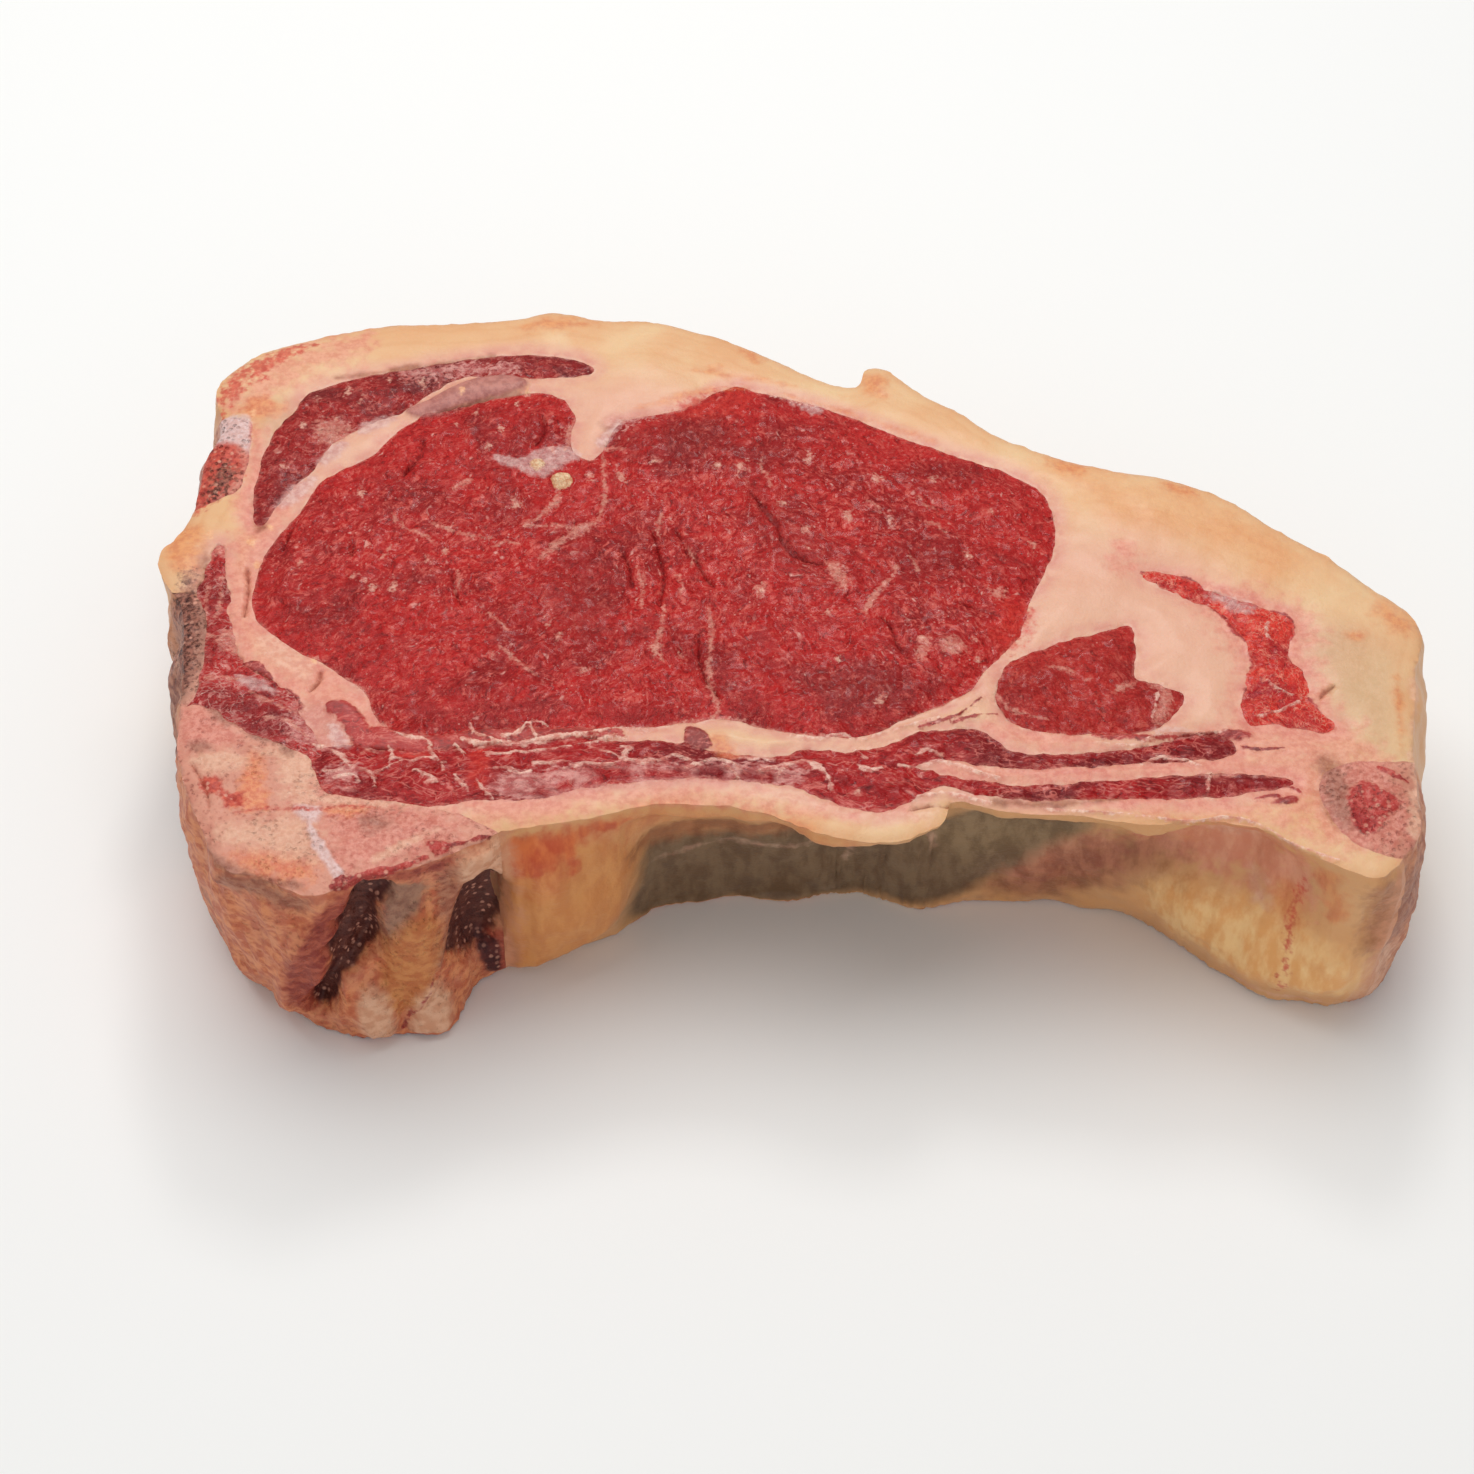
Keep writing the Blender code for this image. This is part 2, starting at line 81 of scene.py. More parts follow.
REGIONS = {
    "vertebra": (
        (-122, -15.5), (-116, -14.5), (-110, -16.5), (-104, -21.5), (-97, -25), (-92, -27.5),
        (-90, -32), (-87, -36.8), (-78, -38), (-65, -41), (-57, -44.5), (-52, -52), (-66, -64),
        (-88, -72), (-110, -64), (-125, -44), (-126, -24),
    ),
    "spine_edge": (
        (-128, -13), (-116, -15), (-113.9, -6), (-114, 5), (-116, 12), (-120, 14.5),
        (-130, 14), (-132, 2),
    ),
    "spine_tip": (
        (-126, 61), (-112, 60.8), (-109.6, 55), (-110.3, 46), (-112.5, 40), (-126, 36),
        (-128, 48),
    ),
    "rib_bone": (
        (96, -33), (100, -30), (108, -29), (126, -30), (127, -49), (112, -50.8), (103, -50),
        (98.5, -46), (96, -39),
    ),
    "eye_muscle": (
        (-78, 60), (-85, 51), (-94.5, 43.5), (-98, 36), (-104.5, 23), (-105.5, 10), (-100, 2),
        (-92, -3.5), (-86.5, -8), (-82, -12), (-78.5, -20), (-70, -22.3), (-60, -21.3),
        (-45, -21), (-28, -20.5), (-14, -18.8), (-2, -22), (10, -23.2), (22, -18), (31, -13),
        (36, -6), (42, 2), (45, 12), (50, 25), (49.5, 38), (44, 44.5), (33, 50.5), (22, 56),
        (6, 64.7), (-6, 68.5), (-13, 70.5), (-24, 63), (-35, 60), (-38.7, 52.7), (-41.5, 49.6),
        (-45.5, 53), (-45, 62), (-51, 68), (-62, 66), (-72, 62.5),
    ),
    "cap_muscle": (
        (-41.3, 74.8), (-47, 78), (-60, 79), (-76, 76), (-90, 72.5), (-99, 68), (-101.5, 63),
        (-105.5, 56), (-108, 43), (-107.6, 34), (-105.5, 31.5), (-101.5, 39.5), (-96.5, 46.5),
        (-93.5, 53), (-87.5, 58.5), (-80, 63), (-73.5, 69), (-67, 72.9), (-56, 72.3),
        (-45, 72.4),
    ),
    "back_muscle": (
        (-113.5, 26), (-111.5, 20), (-110, 8), (-107, -2.5), (-101, -8), (-96, -12),
        (-93.5, -18), (-90, -26), (-94, -31), (-106, -27), (-116, -20), (-119, 0), (-116.5, 16),
    ),
    "rib_muscle": (
        (-88.5, -25), (-76, -25.8), (-66, -26.2), (-52, -24.6), (-40, -24), (-24, -24.2),
        (-16, -26.8), (-6, -27.6), (2, -26), (12, -26.4), (22, -22.3), (33, -21.8), (40, -27),
        (50, -27.2), (65, -25), (76, -22.3), (81, -24), (78, -28), (60, -29.6), (42, -31),
        (28, -29.2), (21.5, -30), (27, -31.6), (40, -34.6), (60, -33.2), (80, -31.3),
        (91, -33.6), (84, -36), (70, -37.4), (50, -38), (36, -37), (26, -34.6), (20, -38),
        (14, -40.2), (5, -38), (-4, -34), (-20, -33), (-35, -34.5), (-50, -37.6), (-62, -38.8),
        (-80, -40), (-90, -38), (-92, -30),
    ),
    "side_muscle": (
        (39.8, -5), (50, 0.5), (58, 3), (63.5, 4.7), (64.5, -2), (63.5, -8), (68, -10.3),
        (72.5, -12.5), (70.5, -17), (66, -21.3), (57, -22.3), (47, -22.3), (39.5, -20),
        (36.8, -15), (37.3, -9.5),
    ),
    "flank_streak": (
        (67, 18.4), (75, 17), (84, 11.8), (90, 9.5), (95, 5), (93.3, -2), (96, -9), (96, -14),
        (100, -21), (92, -20.3), (84, -19), (83.6, -13), (86, -3), (84, 3), (80.5, 8.7),
        (73, 13.2),
    ),
}
LEAN = ("eye_muscle", "cap_muscle", "back_muscle", "rib_muscle", "side_muscle", "flank_streak")
BONES = ("vertebra", "spine_edge", "spine_tip", "rib_bone")
FAT = "fat"
print(len(RIM), "rim points,", len(REGIONS), "outlines")

# %% [markdown]
# ## Noise that can be repeated
# Flesh is uneven at every size, from slow swells down to grains of half a millimetre. Blender's
# Displace modifier could add that with its own textures, but the same noise is also needed to fray
# the outlines, so it is worked out here with numpy: gradient noise, as in most noise textures. The
# seed makes it the same on every run.

# %% Gradient noise
DICE = np.random.default_rng(SEED)
GRADIENTS = DICE.normal(size=(256, 3))
GRADIENTS /= np.linalg.norm(GRADIENTS, axis=1)[:, None]
SHUFFLE = DICE.permutation(256)


def noise(points, size, seed=0):
    """Smooth noise from about -1 to 1 at points in mm; size is the width of its bumps in mm."""
    at = np.asarray(points, float)
    if at.shape[1] == 2:
        at = np.column_stack([at, np.zeros(len(at))])
    at = at / np.asarray(size, float) + 17.3 * seed + 0.37
    cell = np.floor(at).astype(int)
    part = at - cell
    ease = part**3 * (part * (part * 6 - 15) + 10)
    total = np.zeros(len(at))
    for corner in np.ndindex(2, 2, 2):
        x, y, z = (cell + corner).T & 255
        slope = GRADIENTS[SHUFFLE[(SHUFFLE[(SHUFFLE[x] + y) & 255] + z) & 255]]
        share = np.prod(np.where(corner, ease, 1 - ease), axis=1)
        total += share * (slope * (part - corner)).sum(1)
    return total * 1.6


print("noise runs from", *np.quantile(noise(DICE.uniform(0, 90, (4000, 3)), 7), (0, 1)).round(2))

# %% [markdown]
# ## Smooth outlines with frayed edges
# A Catmull-Rom curve goes through every named point, and points at even steps along it make good
# triangles later. Where a knife has cut through muscle, the border to the fat is frayed: short
# teeth of a millimetre or less. Each region has its own amount of fraying.

# %% Curves and fraying
RIM_STEP = 0.85
REGION_STEP = 0.75
FRAY = {
    "rim": 0.55, "eye_muscle": 0.55, "cap_muscle": 0.6, "back_muscle": 1.3, "rib_muscle": 0.95,
    "side_muscle": 0.75, "flank_streak": 1.3, "vertebra": 0.8, "spine_edge": 0.5,
    "spine_tip": 0.5, "rib_bone": 0.7,
}


def closed_curve(points, step):
    """Even points along a smooth closed curve through the given ones."""
    knots = np.array(points, float)
    before = np.roll(knots, 1, 0)
    after = np.roll(knots, -1, 0)
    beyond = np.roll(knots, -2, 0)
    fine = []
    for u in np.linspace(0, 1, 12, endpoint=False):
        fine.append(0.5 * (
            2 * knots
            + (after - before) * u
            + (2 * before - 5 * knots + 4 * after - beyond) * u**2
            + (3 * knots - before - 3 * after + beyond) * u**3
        ))
    ring = np.stack(fine, 1).reshape(-1, 2)
    ring = np.vstack([ring, ring[:1]])
    run = np.concatenate([[0], np.cumsum(np.hypot(*np.diff(ring, axis=0).T))])
    at = np.linspace(0, run[-1], max(8, round(run[-1] / step)), endpoint=False)
    return np.stack([np.interp(at, run, ring[:, 0]), np.interp(at, run, ring[:, 1])], 1)


def spline(points, spacing=0.7):
    """Points at small steps along a smooth open curve through the given ones."""
    knots = np.array([points[0], *points, points[-1]], float)
    fine = []
    for before, start, end, beyond in zip(knots, knots[1:], knots[2:], knots[3:]):
        steps = max(2, round(np.hypot(*(end - start)) / spacing))
        for u in np.arange(steps) / steps:
            fine.append(0.5 * (
                2 * start + (end - before) * u + (2 * before - 5 * start + 4 * end - beyond) * u**2
                + (3 * start - before - 3 * end + beyond) * u**3
            ))
    return np.array([*fine, points[-1]])


def fray(ring, amount, seed):
    """The outline with small teeth, pushed in and out across itself."""
    along = np.roll(ring, -1, 0) - np.roll(ring, 1, 0)
    across = np.stack([-along[:, 1], along[:, 0]], 1)
    across /= np.linalg.norm(across, axis=1)[:, None]
    push = 0.5 * noise(ring, 7.0, seed) + 0.45 * noise(ring, 3.1, seed + 1)
    push += 0.35 * noise(ring, 1.6, seed + 2)
    return ring + across * (push * amount)[:, None]


smooth_rim = closed_curve(RIM, RIM_STEP)
rim = fray(smooth_rim, FRAY["rim"], 40)
outlines = {}
for number, (name, points) in enumerate(REGIONS.items()):
    outlines[name] = fray(closed_curve(points, REGION_STEP), FRAY[name], 50 + 3 * number)
print("rim of", len(rim), "points;", {name: len(ring) for name, ring in outlines.items()})

# %% [markdown]
# ## Measuring distances
# Almost every look here depends on how far a point is from something: from the rim, from a seam,
# from a crease. A k-d tree finds the nearest point of a line quickly, and the distance to the two
# pieces of line that meet there is then exact.

# %% Distances to lines, and what lies inside an outline


def line_distance(points, line, closed=False):
    """Distance from each point to a polyline, and the index of its nearest vertex."""
    tree = KDTree(len(line))
    for index, (x, y) in enumerate(line):
        tree.insert((x, y, 0), index)
    tree.balance()
    near = np.array([tree.find((x, y, 0))[1] for x, y in points.tolist()])
    best = np.full(len(points), np.inf)
    for step in (-1, 1):
        other = (near + step) % len(line) if closed else np.clip(near + step, 0, len(line) - 1)
        start = line[near]
        piece = line[other] - start
        share = ((points - start) * piece).sum(1) / np.maximum((piece**2).sum(1), 1e-9)
        foot = start + piece * np.clip(share, 0, 1)[:, None]
        best = np.minimum(best, np.hypot(*(points - foot).T))
    return best, near


def inside(points, ring):
    """Which points lie inside a closed polyline."""
    hit = np.zeros(len(points), bool)
    box = ((points > ring.min(0)) & (points < ring.max(0))).all(1)
    x, y = points[box].T
    found = np.zeros(len(x), bool)
    for (ax, ay), (bx, by) in zip(ring, np.roll(ring, -1, 0)):
        if ay == by:
            continue
        crosses = (ay > y) != (by > y)
        found ^= crosses & (x < (bx - ax) * (y - ay) / (by - ay) + ax)
    hit[box] = found
    return hit


print("the eye covers", inside(rim, outlines["eye_muscle"]).sum(), "rim points, so it stays clear")

# %% [markdown]
# ## Marks of the real slice
# A real slice has its own veins, creases, blood stains and membranes, and it would look like any
# other steak without them. Each is named here as a line or a patch: on the cut face by its place in
# the plan, and on the front wall by its place along the slice and its height. A mark becomes a
# number from 0 to 1 at every vertex, 0.5 on its edge, and the materials fray that edge further.

# %% Name the marks of the cut face
LINES = {  # softness, then half width and points of each
    "fat": (0.6, (
        (1.0, ((-42, 66), (-44.5, 60), (-45.5, 55), (-46.5, 52))),
        (0.4, ((-39, 52), (-38.5, 45), (-38.3, 38), (-39, 34), (-40, 31))),
        (0.4, ((-39.5, 52.3), (-37, 52.6), (-35, 52))),
        (0.7, ((-39, 32.6), (-43, 30.2), (-46, 27.8), (-48.4, 25), (-50.6, 22))),
        (0.55, ((-53.8, 31.3), (-51.6, 33), (-50, 35), (-48, 37.4), (-47.2, 40))),
        (0.25, ((-54, 31), (-49, 31.4), (-44, 31))),
        (0.4, ((-27, 34), (-27.3, 31), (-27.8, 28.5))),
        (0.4, ((25.4, 31), (27.4, 30.8), (29, 28))),
        (0.25, ((24, 38.5), (25, 36.5), (27, 35))),
        (0.25, ((14, 37), (15.5, 36), (16.5, 34))),
        (0.6, ((19, 19), (17.6, 15.6), (15, 12), (12.5, 7))),
        (0.3, ((21.6, 21.6), (22.6, 20), (23, 18))),
        (0.4, ((-17.6, 9), (-16.8, 3), (-17.4, -5), (-17, -11), (-15.6, -15.6), (-17, -19))),
        (0.3, ((-26, 10), (-26.4, 4), (-27.6, -1), (-26, -4.4))),
        (0.25, ((-57, -1), (-53, -5.5), (-50, -8))),
        (0.45, ((-68.5, 41), (-66.5, 42.4), (-64.8, 43.6))),
        (0.25, ((-60, 7.6), (-57.6, 5.4), (-56.2, 3.4))),
        (0.25, ((-80, 33.6), (-77, 30), (-74, 28.6), (-71.4, 26))),
        (0.25, ((-72, 31.4), (-68.4, 29.8), (-65, 28.4), (-60, 28))),
        (0.25, ((-60, 25.4), (-57.6, 26.8), (-54.8, 26.4))),
        (0.2, ((-81.6, 21.6), (-80.6, 23.2), (-79.8, 25.4))),
        (0.2, ((-66.4, 19), (-65.8, 16), (-66.6, 13))),
        (0.2, ((-31.6, 20), (-30.2, 15), (-30.6, 9))),
        (0.2, ((-23.6, 18), (-22.6, 15.4), (-23, 12.6))),
        (0.2, ((-21.4, 24.6), (-20.6, 22.4), (-21, 20))),
        (0.25, ((-6.6, 49), (-7.4, 46.6), (-6, 44), (-5.4, 40.6))),
        (0.4, ((-86, -8), (-82.5, -12), (-80.5, -18), (-77.5, -23))),
        (0.4, ((47.5, -6.7), (50, -7.2), (52, -8))),
        (0.35, ((59, -13.2), (61, -11.3), (63.5, -9.8))),
        (0.5, ((35, -6), (34.2, -10.6), (31, -14), (26, -16.6), (20, -19.6))),
        (0.3, ((36, -12), (40, -17), (46, -19.5))),
        (0.5, ((-114, 3), (-110, 1.5), (-107, -1))),
        (0.35, ((-113, -8), (-108, -8.5), (-105, -8.2))),
        (0.4, ((-104, -12), (-99, -15), (-95, -17))),
        (0.4, ((-101, -18.5), (-97, -19), (-92, -23))),
        (0.25, ((-112.5, 18), (-112, 12), (-112.8, 6))),
        (0.25, ((-114.8, 16), (-114.5, 8), (-114.8, 0))),
        (0.9, ((35, -33), (50, -31.6), (70, -31.2), (90, -31.8))),
    )),
    "thread": (0.38, (
        (0.40, ((-76, -21.8), (-73, -23), (-70.4, -23.6), (-69, -25.2))),
        (0.22, ((-62, -19.8), (-61, -22.4), (-58.5, -23.4), (-56.6, -24.4))),
        (0.45, ((-63.5, -23.8), (-60, -24.8), (-56.5, -24.6), (-53, -25), (-49, -24.2), (-44.6, -23),
                (-39, -22.2),
                (-34.6, -20.9), (-29, -21.2))),
        (0.40, ((-56, -23.2), (-53.4, -22.6), (-51.2, -19.8), (-50.4, -21.4), (-49.6, -23))),
        (0.22, ((-50.6, -19.4), (-48.4, -19.8), (-47.4, -21))),
        (0.25, ((-41.5, -25.4), (-38, -24.2), (-35.4, -23.2), (-33, -23.8))),
        (0.65, ((-59, -26.9), (-57.4, -27.6), (-55.6, -27.4))),
        (0.25, ((-55.6, -27.2), (-51, -27), (-47, -26.4), (-43, -26))),
        (0.28, ((-57, -31.4), (-54.6, -31.2), (-52.4, -32.4), (-50, -31.8))),
        (0.35, ((-50, -30), (-47, -30.3), (-44.4, -29.9), (-42, -31.2))),
        (0.28, ((-44, -31.3), (-40, -30.4), (-36, -30.6), (-33.4, -29.4))),
        (0.25, ((-37.6, -27), (-35.4, -27.6), (-33.6, -29))),
        (0.45, ((-33.6, -25.6), (-32, -26), (-33, -27.6), (-32.6, -29.2))),
        (0.38, ((-33, -29.2), (-28, -29.6), (-23.6, -28), (-21.4, -29), (-19, -30.2))),
        (0.35, ((-23.6, -31.4), (-20.6, -30.6), (-17, -28.9), (-13.4, -29.2), (-11, -31.6))),
        (0.25, ((-14.6, -30), (-12.6, -31.6), (-11.8, -33))),
        (0.30, ((-11.6, -28.4), (-8, -28.2), (-5, -28.4))),
        (0.45, ((-8, -31.4), (-5, -30.4), (-2, -29.2), (0.6, -28.8), (3, -30.4), (4.8, -32.4), (5.4, -35.4))),
        (0.25, ((-4.6, -32.6), (-3.6, -30.8), (-1.6, -29.6))),
        (0.45, ((10.6, -30.4), (12.8, -31.4), (14.6, -31.2))),
        (0.20, ((10, -26), (11, -27.4), (12.2, -28.6))),
        (0.35, ((-91, -24.6), (-88, -25.6), (-85.6, -28), (-84.6, -30), (-86, -31.6), (-88.6, -31))),
        (0.32, ((-84.6, -30), (-82, -31), (-79.6, -32.4), (-78.8, -35.2))),
        (0.30, ((-79.6, -32.4), (-77, -30.8), (-74.4, -29.2), (-71.6, -28.8))),
        (0.25, ((-77, -25.2), (-76.2, -27.2), (-76.6, -29.6))),
        (0.25, ((-76.2, -27.6), (-73, -28.8), (-69.6, -28.2), (-66, -29.6))),
        (0.25, ((-69.6, -25.4), (-68.4, -27.6), (-67, -29.4), (-66.4, -31.4))),
        (0.25, ((-64.6, -25), (-63.4, -26.4), (-62.6, -28.6))),
        (0.25, ((-72, -31.6), (-69.4, -32.8), (-66.4, -34.6))),
        (0.45, ((-70, -34.6), (-67.6, -34.2))),
        (0.30, ((-64.4, -32.6), (-63, -34.4), (-61.6, -35.8))),
        (0.25, ((-60.2, -33.8), (-58.8, -36), (-57, -37.6))),
        (0.30, ((-86.6, -33), (-83.6, -32.4), (-82, -33.6))),
        (0.25, ((21.6, -27.6), (23.4, -26.4), (25.2, -27.4), (26.6, -28.8))),
        (0.35, ((18, -30.2), (22, -29.8), (26, -28.9), (30, -30.2), (34, -32.2), (37, -33))),
        (0.25, ((13.4, -22.8), (16, -21.8), (20, -20.6), (26, -18.6))),
        (0.35, ((-2, -22.6), (3, -23.2), (8, -22.6), (10.6, -23.6), (12.8, -23.4))),
        (0.25, ((55, -24.6), (62, -25), (67, -22.8), (74, -22.2), (80, -21.2))),
        (0.25, ((63, -29.6), (66.6, -28.2), (70.6, -28.4), (74, -29.8))),
        (0.28, ((75, -36), (75.2, -33.6), (76, -31.6))),
        (0.22, ((68.6, -9.8), (67.4, -12.6), (66.6, -16), (66, -18.4))),
        (0.30, ((90, 5.4), (89.4, 2.6), (90.4, 0.4))),
        (0.25, ((85.6, -18), (89, -17), (92, -15.8), (94.6, -13.6))),
        (0.22, ((88.4, -9.6), (90, -11.6), (93, -12.8))),
        (0.35, ((20, -38.4), (22, -36.6), (27, -35.9), (31, -36.8), (35, -38.2))),
        (0.2, ((45, -39.6), (60, -41.4), (70, -42.6), (78, -41.9), (84, -43.8), (90, -48.4), (97, -52))),
        (0.25, ((-6, 68.4), (0, 66.4), (6, 64.4))),
    )),
    "meat": (0.5, (
        (0.9, ((-85, -58.6), (-80, -56.2), (-74, -54.2), (-68, -51.6))),
        (0.4, ((-66, -49.4), (-62, -48.4), (-58.6, -46.4), (-56, -46.6))),
        (0.7, ((-112, -3.6), (-107, -4.2), (-103, -5.6), (-100.4, -8.4))),
        (0.35, ((22, -21), (26, -19.6), (30, -18), (34, -14.4))),
        (0.30, ((28, -20), (33, -18.6), (37, -18.2))),
        (0.45, ((-60, -23.4), (-56, -22.4), (-53, -22.2))),
        (0.45, ((-48, -24.6), (-40, -23.4), (-33, -22.8))),
        (0.35, ((82, -25), (86, -26), (90, -25.8))),
        (0.25, ((82, -34.5), (90, -35), (92, -36.4))),
        (0.25, ((83.4, -37.8), (86, -37), (88, -37))),
        (0.50, ((107, -30.6), (109.6, -32.4), (112, -34.2))),
    )),
    # Creases sink the surface, and their darker colour is painted shade along the folds.
    "crease": (0.5, (
        (0.35, ((-75, 54.6), (-75.5, 50), (-77, 47), (-78.4, 44.4))),
        (0.45, ((-9.4, 39.4), (-7, 35.4), (-4.6, 31), (-3, 26), (-0.6, 22), (3, 20), (5, 19.6))),
        (0.30, ((-34.6, 24.4), (-33, 20), (-32.4, 15))),
        (0.25, ((-28.6, 29.6), (-27.4, 24), (-26.2, 18), (-26.8, 10))),
        (0.25, ((-24, 30), (-22.6, 26), (-21.6, 22.6))),
        (0.30, ((-20.4, 23), (-18.6, 18), (-16.4, 14.4))),
        (0.25, ((-19.2, 3), (-19.2, -4), (-17.8, -9.4), (-15.4, -13.4))),
        (0.25, ((15.4, 6), (17.4, 3), (18.6, -1.4), (20.4, -4.6))),
        (0.20, ((30.6, 9.6), (34, 8), (38.6, 6.2))),
        (0.20, ((-67.6, 18.4), (-66.4, 13), (-65, 9.6))),
        (0.20, ((-87, 26), (-87.2, 22.6))),
        (0.20, ((-51.4, 61), (-50.8, 57), (-52.6, 53))),
        (0.25, ((-99.6, 31), (-100.2, 28), (-101, 24.6))),
        (0.35, ((-91.2, -6), (-91.2, -9), (-92.8, -11.2))),
        (0.30, ((-107.4, 20), (-106.8, 14), (-107, 8))),
        (0.30, ((98, -13.6), (99, -12.2), (101, -10.6))),
        (0.30, ((20, -39.8), (24, -38.8), (28, -38.8))),
        (0.25, ((-113.4, -29.6), (-111.4, -33), (-109.6, -37), (-109, -40.4))),
    )),
    "blood": (0.8, (
        (2.0, ((-110.6, -33.8), (-107.4, -36.6), (-103.8, -39.4))),
        (0.5, ((-116.4, 62), (-116.4, 68), (-113.4, 73), (-107, 77))),
        (0.7, ((-114, 71), (-110, 74), (-105.6, 78), (-99, 82.6))),
        (0.4, ((-115, 65), (-112.6, 69), (-108, 72.6))),
        (0.3, ((-104, -42), (-97.6, -40.8), (-90, -41.2), (-84, -39.8), (-78, -40.2))),
    )),
    "orange": (1.0, (
        (0.6, ((-32, 63.6), (-24, 66.6), (-17, 69.6), (-10, 70.2))),
        (0.4, ((-2, 68.4), (8, 64.8), (18, 60), (28, 55))),
        (0.3, ((-24, 75), (-12, 73.4), (0, 71))),
        (0.5, ((113, -8), (112.6, -18), (111.6, -27))),
    )),
    "pale": (0.9, (
        (1.2, ((117.4, -5), (116, -16), (114.4, -28), (113.4, -36), (112, -46))),
        (0.7, ((-78, -52.6), (-74, -50), (-70, -47.6), (-66, -45.4))),
    )),
    "cartilage": (0.7, (
        (1.0, ((-90.6, -41.4), (-90, -45), (-88.4, -49), (-86, -53), (-83.4, -57))),
    )),
    "brown": (0.9, (
        (0.8, ((-109.6, -48), (-106, -53), (-99, -56.4), (-91, -58.6))),
        (0.6, ((-94, 72.6), (-80, 75.4), (-70, 77.2), (-62, 78.6))),
        (0.7, ((35, -37.8), (45, -38.6), (58, -37.8))),
    )),
}
